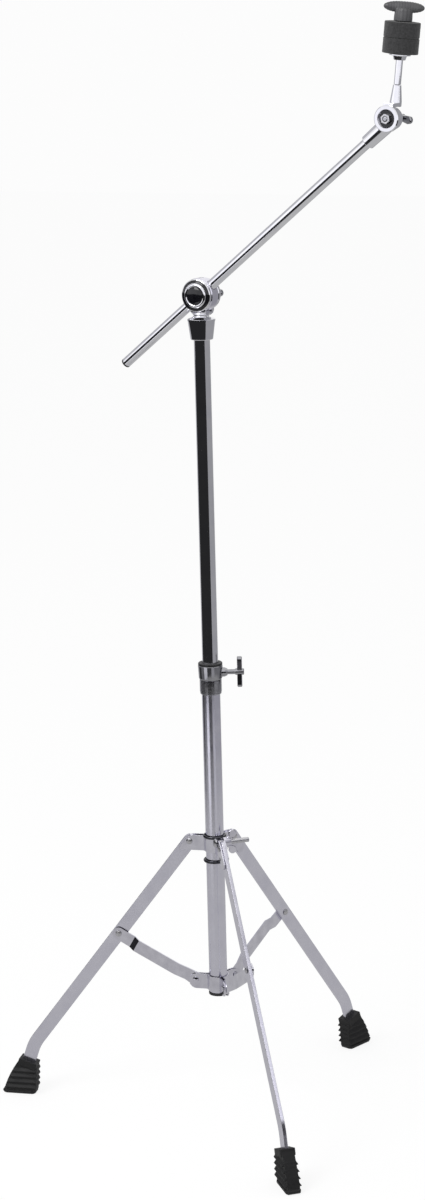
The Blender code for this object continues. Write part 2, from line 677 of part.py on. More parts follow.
def foot_outline(grow=0.0, low=0.0):
    """Side outline of a foot in (radius, height): round toe and heel under a sloping top."""
    outer, inner = foot_corners()
    heel = FOOT_TOE_R - FOOT_LENGTH
    toe_round = arc((FOOT_TOE_R - FOOT_ROUND, FOOT_ROUND), FOOT_ROUND, -90.0, 0.0, 4)
    heel_round = arc((heel + FOOT_ROUND, FOOT_ROUND), FOOT_ROUND, 180.0, 270.0, 4)
    steps = 6
    face = []
    for i in range(1, steps):
        t = i / steps
        straight = Vector((FOOT_TOE_R, FOOT_ROUND * 1.6)).lerp(outer, t)
        face.append(tuple(straight + Vector((1.0, 0.4)) * FOOT_BULGE * sin(pi * t)))
    return toe_round + face + [tuple(outer), tuple(inner)] + heel_round


def make_foot(leg):
    outer, inner = foot_corners()
    upright = leg_frame(leg) @ STAND_UP
    foot = piece(f"foot_{leg}", flat(foot_outline(), FOOT_WIDTH), f"leg_{leg}", "rubber", upright)
    lap = 0.7 * MM
    o, i = outer + (FOOT_SLOPE - FOOT_DOWN) * lap, inner - (FOOT_SLOPE + FOOT_DOWN) * lap
    collar = [tuple(o), tuple(i), tuple(i + FOOT_DOWN * FOOT_COLLAR), tuple(o + FOOT_DOWN * FOOT_COLLAR)]
    join(foot, bevel(flat(collar, FOOT_COLLAR_WIDTH), 1.4 * MM), upright)
    heel = FOOT_TOE_R - FOOT_LENGTH
    for index in range(FIN_COUNT + 1):
        thickness = SOLE_THICKNESS if index == 0 else FIN_THICKNESS
        middle = thickness / 2 if index == 0 else SOLE_THICKNESS / 2 + FIN_PITCH * index
        share = middle / FOOT_OUTER_HEIGHT
        toe = FOOT_TOE_R + (outer.x - FOOT_TOE_R) * share - (0.2 if index == 0 else 1.2) * MM
        back = heel - 0.9 * MM if index else heel + 0.4 * MM
        half, corner = FIN_WIDTH / 2, FIN_WIDTH * 0.28
        plan = (arc((toe - corner, half - corner), corner, 90.0, 0.0, 4)
                + arc((toe - corner, corner - half), corner, 0.0, -90.0, 4)
                + arc((back + corner, corner - half), corner, -90.0, -180.0, 4)
                + arc((back + corner, half - corner), corner, 180.0, 90.0, 4))
        sole_gap = 0.02 * MM if index == 0 else 0.0
        fin = flat(plan, thickness - sole_gap)
        join(foot, fin, leg_frame(leg) @ Matrix.Translation((0.0, 0.0, middle + sole_gap / 2)))
    pocket = flat(leg_outline(LEG_WIDTH / 2 + GAP, GAP), LEG_THICKNESS + 2 * GAP)
    cut(foot, pocket, upright)
    return foot


def make_leg(leg):
    """A flattened tube with a round top end on its pivot and a bend above the foot."""
    body = f"leg_{leg}"
    pivot = leg_frame(leg) @ Vector((LEG_PIVOT_R, 0.0, LEG_PIVOT_HEIGHT))
    add_body(body, pivot, "carriage")
    upright = leg_frame(leg) @ STAND_UP
    bar = piece(body, bevel(flat(leg_outline(LEG_WIDTH / 2), LEG_THICKNESS), LEG_EDGE),
                body, "satin_chrome", upright)
    for r, z in ((LEG_PIVOT_R, LEG_PIVOT_HEIGHT), STAY_OUTER):
        cut(bar, rod(RIVET_HOLE_R, -LEG_THICKNESS, LEG_THICKNESS),
            leg_frame(leg) @ Matrix.Translation((r, 0.0, z)) @ ALONG_SIDE)
    make_foot(leg)
    tail = turned(rivet_profile(LEG_THICKNESS + GAP, second_head=False), SMALL_STEPS)
    flip = Matrix.Rotation(pi, 4, "X")
    piece(f"rivet_tail_{leg}", tail, body, "zinc",
          leg_frame(leg) @ Matrix.Translation((STAY_OUTER.x, -LEG_THICKNESS / 2 - GAP, STAY_OUTER.y))
          @ ALONG_SIDE @ flip)


def stay_side(along):
    """How far a stay stands to the side of the leg's middle plane."""
    jog_from, jog_to = STAY_LENGTH - STAY_JOG_FROM, STAY_LENGTH - STAY_JOG_TO
    clear = STAY_FLAT + STAY_WIDTH
    if along <= STAY_FLAT:
        return 0.0
    side = STAY_SIDE + STAY_STAND_OFF
    if along <= clear:
        return 0.6 * side * (along - STAY_FLAT) / (clear - STAY_FLAT)
    if along <= jog_from:
        return side * (0.6 + 0.4 * (along - clear) / (jog_from - clear))
    if along < jog_to:
        return side - STAY_STAND_OFF * (along - jog_from) / (jog_to - jog_from)
    return STAY_SIDE


def stay_stations():
    """A strap with round ends, along X, bent sideways by stay_side."""
    half = STAY_WIDTH / 2
    ends = [half * cos(radians(a)) for a in range(10, 91, 16)]
    alongs = sorted({-e for e in ends} | {STAY_LENGTH + e for e in ends}
                    | {0.0, STAY_FLAT, STAY_FLAT + STAY_WIDTH, STAY_LENGTH - STAY_JOG_FROM,
                       STAY_LENGTH - STAY_JOG_TO, STAY_LENGTH})
    stations = []
    for along in alongs:
        over = max(-along, along - STAY_LENGTH, 0.0)
        width = sqrt(half ** 2 - over ** 2)
        stations.append((along, stay_side(along), -width, width))
    return stations


def make_stay(leg):
    body = f"stay_{leg}"
    pivot = leg_frame(leg) @ Vector((STAY_PIVOT_R, 0.0, STAY_PIVOT_HEIGHT))
    add_body(body, pivot, "base")
    rise = atan2(STAY_RUN.y, STAY_RUN.x)
    place = Matrix.Translation(pivot) @ leg_frame(leg) @ Matrix.Rotation(-rise, 4, "Y")
    stay = piece(body, strip(stay_stations(), STAY_THICKNESS), body, "satin_chrome", place)
    for along, side in ((0.0, 0.0), (STAY_LENGTH, STAY_SIDE)):
        cut(stay, rod(RIVET_HOLE_R, side - 2 * STAY_THICKNESS, side + 2 * STAY_THICKNESS),
            place @ Matrix.Translation((along, 0.0, 0.0)) @ ALONG_SIDE)
    face = STAY_SIDE + STAY_THICKNESS / 2 + GAP
    head = turned(rivet_profile(STAY_THICKNESS + GAP, second_head=False), SMALL_STEPS)
    piece(f"rivet_head_{leg}", head, body, "zinc",
          leg_frame(leg) @ Matrix.Translation((STAY_OUTER.x, face, STAY_OUTER.y)) @ ALONG_SIDE)


def make_brackets():
    long_reach = LEG_PIVOT_R + LONG_EAR_ALONG * LEG_DOWN.x + EAR_MARGIN * LEG_OUT.x
    stations = plate_stations(UPPER_EAR_SIDE, LEG_PIVOT_R + SHORT_EAR_REACH, long_reach - PLATE,
                              lambda r: ear_edges(r, False), lambda r: ear_edges(r, True))
    holes = [(leg, LEG_PIVOT_R, 0.0, RIVET_HOLE_R) for leg in LEG_AZIMUTHS]
    holes.append(("front", CLAMP_BOLT_R, CLAMP_BOLT_ABOVE, BOLT_HOLE_R))
    make_bracket("upper_bracket_plate", "carriage", LEG_PIVOT_HEIGHT, stations, holes)
    rivet_side = UPPER_EAR_SIDE + PLATE / 2 + GAP
    make_rivets("leg_pivot_rivet", "carriage", LEG_PIVOT_R, LEG_PIVOT_HEIGHT, rivet_side)

    reach = STAY_PIVOT_R + LOWER_EAR_REACH - MM
    stations = plate_stations(LOWER_EAR_SIDE, reach, reach, lower_ear_edges, lower_ear_edges)
    holes = [(leg, STAY_PIVOT_R, 0.0, RIVET_HOLE_R) for leg in LEG_AZIMUTHS]
    make_bracket("lower_bracket_plate", "base", STAY_PIVOT_HEIGHT, stations, holes)
    rivet_side = LOWER_EAR_SIDE + PLATE / 2 + GAP
    make_rivets("stay_pivot_rivet", "base", STAY_PIVOT_R, STAY_PIVOT_HEIGHT, rivet_side)


def make_bracket_clamp():
    height = LEG_PIVOT_HEIGHT + CLAMP_BOLT_ABOVE
    frame = leg_frame("front") @ Matrix.Translation((CLAMP_BOLT_R, 0.0, height)) @ ALONG_SIDE
    head_r = CLAMP_HEAD_D / 2
    low = -NUT_SIDE
    piece("bracket_clamp_bolt",
          turned([(0.0, CLAMP_BOLT_TAIL), (BOLT_R - 0.6 * MM, CLAMP_BOLT_TAIL),
                  (BOLT_R, CLAMP_BOLT_TAIL - 0.6 * MM), (BOLT_R, low), (head_r, low),
                  (head_r, low - CLAMP_HEAD * 0.4), (head_r * 0.62, low - CLAMP_HEAD * 0.88),
                  (0.0, low - CLAMP_HEAD)], SMALL_STEPS), "carriage", "zinc", frame)

    seat = leg_frame("front") @ Vector((CLAMP_BOLT_R, NUT_SIDE, height))
    add_body("bracket_nut", seat, "carriage")
    base_r = NUT_BASE_D / 2
    nut = piece("bracket_wing_nut",
                turned([(base_r * 0.72, NUT_BASE), (base_r, NUT_BASE * 0.3), (base_r, 0.0),
                        (BOLT_HOLE_R, 0.0), (BOLT_HOLE_R, NUT_BASE)], SMALL_STEPS, ring=True),
                "bracket_nut", "satin_chrome", frame @ Matrix.Translation((0.0, 0.0, NUT_SIDE)))
    lobe = arc((LOBE_OUT, LOBE_UP), LOBE_R, -112.0, 165.0, 9)
    half = [(BOLT_HOLE_R + 0.8 * MM, NUT_BASE * 0.35)] + lobe + [(BOLT_HOLE_R + 0.8 * MM, NUT_BASE * 0.9)]
    for side in (1.0, -1.0):
        wing = bevel(flat([(x * side, y) for x, y in half], LOBE_THICKNESS), 0.7 * MM, 1)
        turn = Matrix.Rotation(pi / 2, 4, "Z") @ STAND_UP
        join(nut, wing, nut.matrix_basis @ turn)


def make_upper_mast():
    bore = LOWER_BORE_R
    lip_r = bore - GAP
    lip_top = UPPER_TUBE_FOOT - GAP
    spigot = UPPER_BORE_R - GAP
    add_body("mast_slide", (0.0, 0.0, lip_top - BUSH_LIP), "base")
    piece("upper_tube_bush",
          turned([(0.0, UPPER_TUBE_FOOT + SPIGOT), (spigot, UPPER_TUBE_FOOT + SPIGOT),
                  (spigot, lip_top), (lip_r, lip_top), (lip_r, lip_top - BUSH_LIP),
                  (0.0, lip_top - BUSH_LIP)]), "mast_slide", "nylon")
    add_body("mast", (0.0, 0.0, UPPER_TUBE_FOOT), "mast_slide")
    piece("upper_tube", turned([(UPPER_TUBE_R, UPPER_TUBE_TOP), (UPPER_TUBE_R, UPPER_TUBE_FOOT),
                                (UPPER_BORE_R, UPPER_TUBE_FOOT), (UPPER_BORE_R, UPPER_TUBE_TOP)],
                               ring=True), "mast", "chrome")


def make_tilter_base():
    flange_top = TILTER_HEIGHT - FLANGE_DROP
    flange_foot = flange_top - FLANGE
    flange_r, neck_r = FLANGE_D / 2, NECK_D / 2
    cone_top, cone_foot = CONE_TOP_D / 2, CONE_FOOT_D / 2
    edge = 0.7 * MM
    bore = UPPER_TUBE_R + GAP
    clearance = CLAMP_D / 2 + GAP
    saddle_top = TILTER_HEIGHT - clearance * 0.68
    waist = flange_top + WAIST
    profile = [(0.0, saddle_top), (SADDLE_D / 2, saddle_top),
               (SADDLE_D / 2, flange_top + SADDLE_EDGE), (neck_r * 1.18, waist + WAIST * 0.53),
               (neck_r, waist), (neck_r * 1.11, waist - WAIST * 0.4), (neck_r * 1.33, waist - WAIST * 0.71),
               (flange_r - edge, flange_top),
               (flange_r, flange_top - edge), (flange_r, flange_foot + edge),
               (cone_top, flange_foot), (cone_foot, CONE_FOOT + edge), (cone_foot - edge, CONE_FOOT),
               (bore, CONE_FOOT), (bore, UPPER_TUBE_TOP + GAP), (0.0, UPPER_TUBE_TOP + GAP)]
    base = piece("tilter_base", turned(profile), "mast", "chrome")
    ratchet = Matrix.Translation(TILT_AXIS)
    web_low = waist - TILTER_HEIGHT
    web_top = -clearance * 0.72
    back = EAR_BACK - 1.2 * MM
    web = [(0.0, web_top), (0.0, web_low), (NECK_D * 0.45, web_low - 0.4 * MM),
           (back * 0.86, web_low + WEB_STEP * 0.36), (back, web_low + WEB_STEP), (back, web_top)]
    across = Matrix.Rotation(pi / 2, 4, "Z") @ STAND_UP
    join(base, bevel(flat(web, WEB_WIDTH), 1.5 * MM), ratchet @ across)
    cut(base, rod(clearance, -EAR_BACK * 2, EAR_CREST + TOOTH * 0.6, TUBE_STEPS), ratchet @ TO_BACK)
    apex = -BOOM_HOLE_R / cos(radians(TILT_LIMIT))
    reach = clearance * 2
    wing = apex - reach * tan(radians(TILT_LIMIT))
    groove = [(reach, 0.0), (-reach, 0.0), (-reach, wing), (0.0, apex), (reach, wing)]
    cut(base, flat(groove, BOOM_HOLE_R * 2 + GAP), ratchet @ STAND_UP)
    ear_r = EAR_D / 2
    join(base, turned([(0.0, EAR_BACK), (ear_r * 0.45, EAR_BACK), (ear_r * 0.86, EAR_BACK - 1.6 * MM),
                       (ear_r, EAR_BACK - 4.0 * MM), (ear_r, EAR_FACE + edge),
                       (ear_r - edge, EAR_FACE), (0.0, EAR_FACE)]), ratchet @ TO_BACK)
    join(base, toothed_ring(RATCHET_D / 2, RATCHET_BORE_D / 2, -EAR_CREST - TOOTH, -EAR_CREST,
                            -EAR_FACE - TOOTH), ratchet @ TO_FRONT)
    cut(base, rod(BOLT_HOLE_R, 0.0, EAR_BACK * 2), ratchet @ TO_BACK)


def make_boom_clamp():
    add_body("boom_clamp", TILT_AXIS, "mast")
    ratchet = Matrix.Translation(TILT_AXIS)
    clamp_r = CLAMP_D / 2
    edge = 1.0 * MM
    body = piece("boom_clamp_body",
                 turned([(0.0, CLAMP_HALF), (clamp_r - edge, CLAMP_HALF),
                         (clamp_r, CLAMP_HALF - edge), (clamp_r, edge - CLAMP_HALF),
                         (clamp_r - edge, -CLAMP_HALF), (0.0, -CLAMP_HALF)]),
                 "boom_clamp", "satin_chrome", ratchet @ TO_BACK)
    join(body, toothed_ring(RATCHET_D / 2, RATCHET_BORE_D / 2, CLAMP_CREST - TOOTH, CLAMP_CREST,
                            CLAMP_HALF - TOOTH), ratchet @ TO_BACK)
    cut(body, rod(BOOM_HOLE_R, -CLAMP_D, CLAMP_D, TUBE_STEPS), BOOM_FRAME @ ALONG_BOOM)
    cut(body, rod(BOLT_HOLE_R, 0.0, CLAMP_CREST * 2), ratchet @ TO_BACK)
    cap_r = CAP_D / 2
    seat = CLAMP_HALF + GAP
    rim = seat + CAP_RIM
    dome = [(cap_r * cos(radians(a)), rim + (CAP_DEPTH - CAP_RIM) * sin(radians(a)))
            for a in range(90, -1, -15)]
    piece("boom_clamp_cap", turned(dome + [(cap_r, seat + 0.4 * MM), (cap_r - 0.4 * MM, seat),
                                           (0.0, seat)]),
          "boom_clamp", "chrome", ratchet @ TO_FRONT)

    tip = BOOM_R + GAP
    add_body("tilter_bolt", ratchet @ Vector((0.0, EAR_BACK, 0.0)), "boom_clamp")
    wing_bolt("tilter_wing_bolt", "tilter_bolt",
              ratchet @ Matrix.Translation((0.0, tip, 0.0)) @ TO_BACK,
              EAR_BACK + 3.0 * MM - tip, SMALL_PADDLE_SPAN)


def make_boom():
    tube_end = BOOM_REACH - SOCKET_LENGTH + SOCKET_DEPTH
    bore = BOOM_R - BOOM_WALL
    tail = BOOM_FRAME @ Vector((-BOOM_TAIL, 0.0, 0.0))
    along = BOOM_FRAME @ ALONG_BOOM
    add_body("boom_slide", tail, "boom_clamp")
    spigot = bore - GAP
    edge = 0.6 * MM
    lip = -BOOM_TAIL - GAP
    piece("boom_tail_plug",
          turned([(0.0, SPIGOT - BOOM_TAIL), (spigot, SPIGOT - BOOM_TAIL), (spigot, lip),
                  (BOOM_R, lip), (BOOM_R, lip - TAIL_PLUG_LIP + edge),
                  (BOOM_R - edge, lip - TAIL_PLUG_LIP), (0.0, lip - TAIL_PLUG_LIP)], SMALL_STEPS),
          "boom_slide", "nylon", along)
    add_body("boom", tail, "boom_slide")
    piece("boom_tube", turned([(BOOM_R, tube_end), (BOOM_R, -BOOM_TAIL), (bore, -BOOM_TAIL),
                               (bore, tube_end)], ring=True), "boom", "chrome", along)

    mouth = BOOM_REACH - SOCKET_LENGTH
    bottom = tube_end + GAP
    socket_r = SOCKET_D / 2
    end = [(socket_r * cos(radians(a)), BOOM_REACH + socket_r * sin(radians(a)))
           for a in (90, 66, 44, 22, 0)]
    profile = end + [(socket_r, BOOM_REACH - SOCKET_LENGTH * 0.35), (SOCKET_MOUTH_D / 2, mouth + edge),
                     (SOCKET_MOUTH_D / 2 - edge, mouth), (BOOM_HOLE_R, mouth), (BOOM_HOLE_R, bottom),
                     (0.0, bottom)]
    socket = piece("boom_end_socket", turned(profile), "boom", "chrome", along)
    ratchet = Matrix.Translation(END_AXIS)
    disc_r = SOCKET_DISC_D / 2
    join(socket, turned([(0.0, SOCKET_DISC_FACE), (disc_r - edge, SOCKET_DISC_FACE),
                         (disc_r, SOCKET_DISC_FACE - edge), (disc_r, SOCKET_DISC_FACE * 0.34),
                         (0.0, SOCKET_DISC_FACE * 0.34)], TUBE_STEPS), ratchet @ TO_FRONT)
    join(socket, toothed_ring(SMALL_RATCHET_D / 2, SMALL_RATCHET_BORE_D / 2, SOCKET_CREST - TOOTH,
                              SOCKET_CREST, SOCKET_DISC_FACE - TOOTH), ratchet @ TO_FRONT)
    cut(socket, rod(BOLT_HOLE_R, -SOCKET_D, SOCKET_CREST * 2), ratchet @ TO_FRONT)


def make_end_tilter():
    add_body("rod_tilter", END_AXIS, "boom")
    front = ROD_FRAME @ TO_FRONT
    disc_r = ROD_DISC_D / 2
    edge = 1.0 * MM
    recess_r = NUT_RECESS_D / 2
    floor = ROD_DISC_FRONT - NUT_RECESS
    arm = piece("rod_tilter_arm",
                turned([(0.0, floor), (recess_r - edge, floor), (recess_r, ROD_DISC_FRONT - edge / 2),
                        (recess_r + edge / 2, ROD_DISC_FRONT), (disc_r - edge, ROD_DISC_FRONT),
                        (disc_r, ROD_DISC_FRONT - edge), (disc_r, ROD_DISC_BACK),
                        (0.0, ROD_DISC_BACK)]), "rod_tilter", "chrome", front)
    foot_r, top_r = ARM_FOOT_D / 2, ARM_TOP_D / 2
    bridge = block((-foot_r * 0.92, -ROD_DISC_BACK - ROD_DISC / 2, ARM_FROM),
                   (foot_r * 0.92, 0.0, ARM_FROM + ARM_BRIDGE))
    join(arm, bevel(bridge, 0.8 * MM), ROD_FRAME)
    shaft = turned([(0.0, ARM_TO), (top_r - 0.5 * MM, ARM_TO), (top_r, ARM_TO - 0.5 * MM),
                    (foot_r, ROD_FOOT + MM), (foot_r, ARM_FROM + 0.5 * MM),
                    (foot_r - 0.5 * MM, ARM_FROM - 0.01 * MM), (0.0, ARM_FROM - 0.01 * MM)],
                   TUBE_STEPS)
    join(arm, shaft, ROD_FRAME)
    join(arm, toothed_ring(SMALL_RATCHET_D / 2, SMALL_RATCHET_BORE_D / 2, -ROD_CREST - TOOTH,
                           -ROD_CREST, -ROD_DISC_BACK - TOOTH), ROD_FRAME @ TO_BACK)
    cut(arm, rod(BOLT_HOLE_R, 0.0, ROD_DISC_FRONT * 2), front)
    cut(arm, rod(ROD_SPIGOT_D / 2 + GAP, ROD_FOOT, ARM_TO * 2), ROD_FRAME)

    nut_low = floor + GAP
    nut_r = NUT_ACROSS / 2 / cos(pi / 6)
    nut = piece("end_tilter_nut", rod(nut_r, nut_low, nut_low + NUT_HEIGHT, 6),
                "rod_tilter", "zinc", front)
    cut(nut, rod(BOLT_HOLE_R, 0.0, ROD_DISC_FRONT * 2), front)

    back = SOCKET_D / 2
    add_body("end_tilter_bolt", END_AXIS + Vector((0.0, back, 0.0)), "rod_tilter")
    tip = nut_low + NUT_HEIGHT + 0.5 * MM
    wing_bolt("end_wing_bolt", "end_tilter_bolt",
              Matrix.Translation(END_AXIS) @ Matrix.Rotation(radians(17.0), 4, "Y")
              @ Matrix.Translation((0.0, -tip, 0.0)) @ TO_BACK,
              tip + back + 2.4 * MM, SMALL_PADDLE_SPAN)


def make_cymbal_seat():
    rod_r, spigot_r = ROD_D / 2, ROD_SPIGOT_D / 2
    top_edge = 0.8 * MM
    shoulder = ARM_TO + GAP
    piece("cymbal_rod",
          turned([(0.0, ROD_TOP), (rod_r - top_edge, ROD_TOP), (rod_r, ROD_TOP - top_edge),
                  (rod_r, shoulder), (spigot_r, shoulder), (spigot_r, ROD_FOOT + GAP),
                  (0.0, ROD_FOOT + GAP)], SMALL_STEPS), "rod_tilter", "chrome", ROD_FRAME)
    bore = rod_r + GAP
    cup_r, hub_r = CUP_D / 2, CUP_HUB_D / 2
    rim_foot = CUP_SEAT - CUP_RIM
    piece("cup_washer",
          turned([(cup_r - 0.4 * MM, CUP_SEAT), (cup_r, CUP_SEAT - 0.4 * MM), (cup_r, rim_foot),
                  (hub_r + 1.4 * MM, rim_foot - 0.5 * MM), (hub_r, rim_foot - CUP_HUB),
                  (bore, rim_foot - CUP_HUB), (bore, CUP_SEAT)], SMALL_STEPS + 8, ring=True),
          "rod_tilter", "chrome", ROD_FRAME)
    sleeve_top = NUT_SEAT - GAP
    piece("rod_sleeve",
          turned([(SLEEVE_R, sleeve_top), (SLEEVE_R, LOWER_FELT_FOOT), (bore, LOWER_FELT_FOOT),
                  (bore, sleeve_top)], SMALL_STEPS + 8, ring=True),
          "rod_tilter", "nylon", ROD_FRAME)

    felt_r, felt_bore = FELT_D / 2, SLEEVE_R + GAP
    for name, foot in (("lower_felt", LOWER_FELT_FOOT), ("upper_felt", UPPER_FELT_FOOT)):
        add_body(name, ROD_FRAME @ Vector((0.0, 0.0, foot)), "rod_tilter")
        top = foot + FELT_HEIGHT
        inside = felt_r - FELT_ROUND
        upper = [(r, z) for r, z in arc((inside, top - FELT_ROUND), FELT_ROUND, 90.0, 0.0, 3)]
        lower = [(r, z) for r, z in arc((inside, foot + FELT_ROUND), FELT_ROUND, 0.0, -90.0, 3)]
        piece(name, turned(upper + lower + [(felt_bore, foot), (felt_bore, top)], ring=True),
              name, "felt", ROD_FRAME)


def make_top_nut():
    """Moulded wing nut: a round hub under two wings with an arched top."""
    add_body("top_nut", ROD_FRAME @ Vector((0.0, 0.0, NUT_SEAT)), "rod_tilter")
    place = (ROD_FRAME @ Matrix.Translation((0.0, 0.0, NUT_SEAT))
             @ Matrix.Rotation(radians(WING_AZIMUTH), 4, "Z"))
    hub_r = WING_HUB_D / 2
    nut = piece("top_wing_nut",
                turned([(0.0, WING_TOP - 3.0 * MM), (hub_r * 0.55, WING_TOP - 3.4 * MM),
                        (hub_r * 0.86, WING_HUB), (hub_r, MM), (hub_r - MM, 0.0), (0.0, 0.0)]),
                "top_nut", "plastic", place)
    end_r = WING_END_HEIGHT / 2
    out = WING_SPAN / 2 - end_r
    middle = WING_TOP - end_r - 1.4 * MM
    right = arc((out, middle), end_r, -96.0, 78.0, 8)
    left = [(-x, z) for x, z in reversed(right)]
    outline = right + [(0.0, WING_TOP)] + left + [(-hub_r * 0.7, WING_HUB - 2.4 * MM),
                                                   (hub_r * 0.7, WING_HUB - 2.4 * MM)]
    join(nut, bevel(flat(outline, WING_THICKNESS), 2.0 * MM, 2), place @ STAND_UP)
    cut(nut, rod(ROD_D / 2 + GAP, -MM, ROD_TOP - NUT_SEAT + MM), place)


def make_height_bolt():
    turn = Matrix.Rotation(radians(COLLAR_BOLT_AZIMUTH), 4, "Z")
    seat = turn @ Vector((COLLAR_BOSS_REACH, 0.0, COLLAR_BOLT_HEIGHT))
    add_body("height_bolt", seat, "base")
    tip = UPPER_TUBE_R + GAP
    place = turn @ Matrix.Translation((tip, 0.0, COLLAR_BOLT_HEIGHT)) @ ALONG_BOOM
    wing_bolt("height_wing_bolt", "height_bolt", place, COLLAR_HUB_REACH - tip, PADDLE_SPAN)


def smooth_round_faces():
    """Smooth shading with sharp edges where faces meet at a real corner."""
    for obj in parts.objects:
        if obj.type == "MESH" and obj.data.polygons:
            obj.data.shade_smooth()
            obj.data.set_sharp_from_angle(angle=radians(35.0))


def stand_on_origin():
    """Moves the whole stand so that the origin is under the middle of its bounding box."""
    graph = bpy.context.evaluated_depsgraph_get()
    points = []
    for obj in parts.objects:
        if obj.type == "MESH":
            ready = obj.evaluated_get(graph)
            points += [ready.matrix_world @ vert.co for vert in ready.data.vertices]
    low = Vector(min(p[axis] for p in points) for axis in range(3))
    high = Vector(max(p[axis] for p in points) for axis in range(3))
    bodies["base"].location = (-(low.x + high.x) / 2, -(low.y + high.y) / 2, -low.z)


clear_scene()
parts = new_collection("cymbal_stand")
cutters = new_collection("cutters")
add_body("base", (0.0, 0.0, 0.0))
make_mast_base()
make_height_collar()
add_body("carriage", (0.0, 0.0, LEG_PIVOT_HEIGHT), "base")
make_brackets()
make_bracket_clamp()
for side_name in LEG_AZIMUTHS:
    make_leg(side_name)
    make_stay(side_name)
make_height_bolt()
make_upper_mast()
make_tilter_base()
make_boom_clamp()
make_boom()
make_end_tilter()
make_cymbal_seat()
make_top_nut()
smooth_round_faces()
stand_on_origin()
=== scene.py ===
import json
from math import atan2, cos, degrees, pi, radians, sin

import bmesh
import bpy
from mathutils import Matrix, Vector

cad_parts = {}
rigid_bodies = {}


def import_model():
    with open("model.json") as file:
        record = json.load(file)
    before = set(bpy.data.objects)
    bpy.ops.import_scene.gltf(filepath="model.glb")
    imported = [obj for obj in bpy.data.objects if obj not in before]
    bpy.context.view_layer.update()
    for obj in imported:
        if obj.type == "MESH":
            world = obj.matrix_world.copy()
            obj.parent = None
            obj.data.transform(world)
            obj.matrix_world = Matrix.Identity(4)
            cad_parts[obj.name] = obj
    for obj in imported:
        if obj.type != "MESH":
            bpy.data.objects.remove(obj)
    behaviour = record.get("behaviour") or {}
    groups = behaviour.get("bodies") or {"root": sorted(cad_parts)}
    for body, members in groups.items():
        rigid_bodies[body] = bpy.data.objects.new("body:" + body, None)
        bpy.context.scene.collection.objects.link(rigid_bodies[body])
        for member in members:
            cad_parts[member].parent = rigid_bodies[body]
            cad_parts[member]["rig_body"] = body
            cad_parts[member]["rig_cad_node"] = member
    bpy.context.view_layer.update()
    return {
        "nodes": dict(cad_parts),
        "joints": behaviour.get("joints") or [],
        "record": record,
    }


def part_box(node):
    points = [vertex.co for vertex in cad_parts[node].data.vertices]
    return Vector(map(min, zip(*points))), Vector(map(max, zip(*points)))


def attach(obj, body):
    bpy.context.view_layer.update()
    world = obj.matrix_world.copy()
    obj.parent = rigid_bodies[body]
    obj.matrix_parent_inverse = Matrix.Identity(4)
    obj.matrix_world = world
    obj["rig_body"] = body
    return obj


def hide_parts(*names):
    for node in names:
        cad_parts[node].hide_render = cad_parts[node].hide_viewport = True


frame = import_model()
nodes = frame["nodes"]
joints = {joint["name"]: joint for joint in frame["joints"]}
bodyOf = {node: body for body, members in frame["record"]["behaviour"]["bodies"].items()
          for node in members}
slotOf = {row["node"]: row["material_slot"] for row in frame["record"]["subparts"]}
bpy.ops.object.select_all(action="DESELECT")
scene = bpy.context.scene
mm = 0.001
weld = 0.01 * mm        # corners closer than this become one
mast = Vector((*joints["mast_swivel"]["pos_m"][:2], 0.0))    # where its axis meets the floor


camera = {
    "turn": 30.0,                       # round the mast, from the fitted view, degrees
    "place": (0.0458, -3.144, 1.326),   # from the mast, before the turn
    "yaw": -0.75, "pitch": 12.26, "roll": -1.46,
    "focal": 2694.0, "frame": 1200.0,   # both in pixels of the picture's height
    "sensor": 36.0, "sees": (0.1, 50.0),
}


def makeCamera(spec):
    yaw, pitch, roll = (radians(spec[key]) for key in ("yaw", "pitch", "roll"))
    ahead = Vector((sin(yaw) * cos(pitch), cos(yaw) * cos(pitch), -sin(pitch)))
    level = Vector((cos(yaw), -sin(yaw), 0.0))
    above = level.cross(ahead)
    right = level * cos(roll) + above * sin(roll)
    up = above * cos(roll) - level * sin(roll)
    pose = Matrix((right, up, -ahead)).transposed().to_4x4()
    pose.translation = Vector(spec["place"])
    data = bpy.data.cameras.new("photoCamera")
    data.sensor_width = spec["sensor"]
    data.lens = spec["focal"] / spec["frame"] * spec["sensor"]
    data.clip_start, data.clip_end = spec["sees"]
    made = bpy.data.objects.new("photoCamera", data)
    scene.collection.objects.link(made)
    turned = Matrix.Rotation(radians(spec["turn"]), 4, "Z")
    made.matrix_world = Matrix.Translation(mast) @ turned @ pose
    scene.camera = made


makeCamera(camera)
print("camera is placed")


# What all the finishes share
surface = {
    "cloud": (4.0, 0.6),            # detail and roughness of the noise behind shades and gloss
    "grain": (2.0, 0.5), "pits": (1.0, 0.5),        # the same for the bumps
    "shades": (0.32, 0.68),         # the part of the clouds that goes from shade to shade
    "gloss": (0.3, 0.7),            # and from one roughness to the other
    "depth": 0.0002,                # of a full bump, metres
    "drawn": (1.0, 1.0, 0.03),      # stretches the grain of plated parts along the height
    "sheenRoughness": 0.5,
}


def newMaterial(name, colour, roughness, metallic):
    made = bpy.data.materials.new(name)
    made.use_nodes = True
    shader = made.node_tree.nodes["Principled BSDF"]
    shader.inputs["Base Color"].default_value = (*colour, 1.0)
    shader.inputs["Roughness"].default_value = roughness
    shader.inputs["Metallic"].default_value = metallic
    made.diffuse_color = (*colour, 1.0)
    return made, made.node_tree.nodes, made.node_tree.links, shader


def noiseOf(tree, links, kind, scale, vector):
    noise = tree.new("ShaderNodeTexNoise")
    noise.inputs["Scale"].default_value = scale
    noise.inputs["Detail"].default_value, noise.inputs["Roughness"].default_value = surface[kind]
    links.new(vector, noise.inputs["Vector"])
    return noise.outputs["Fac"]


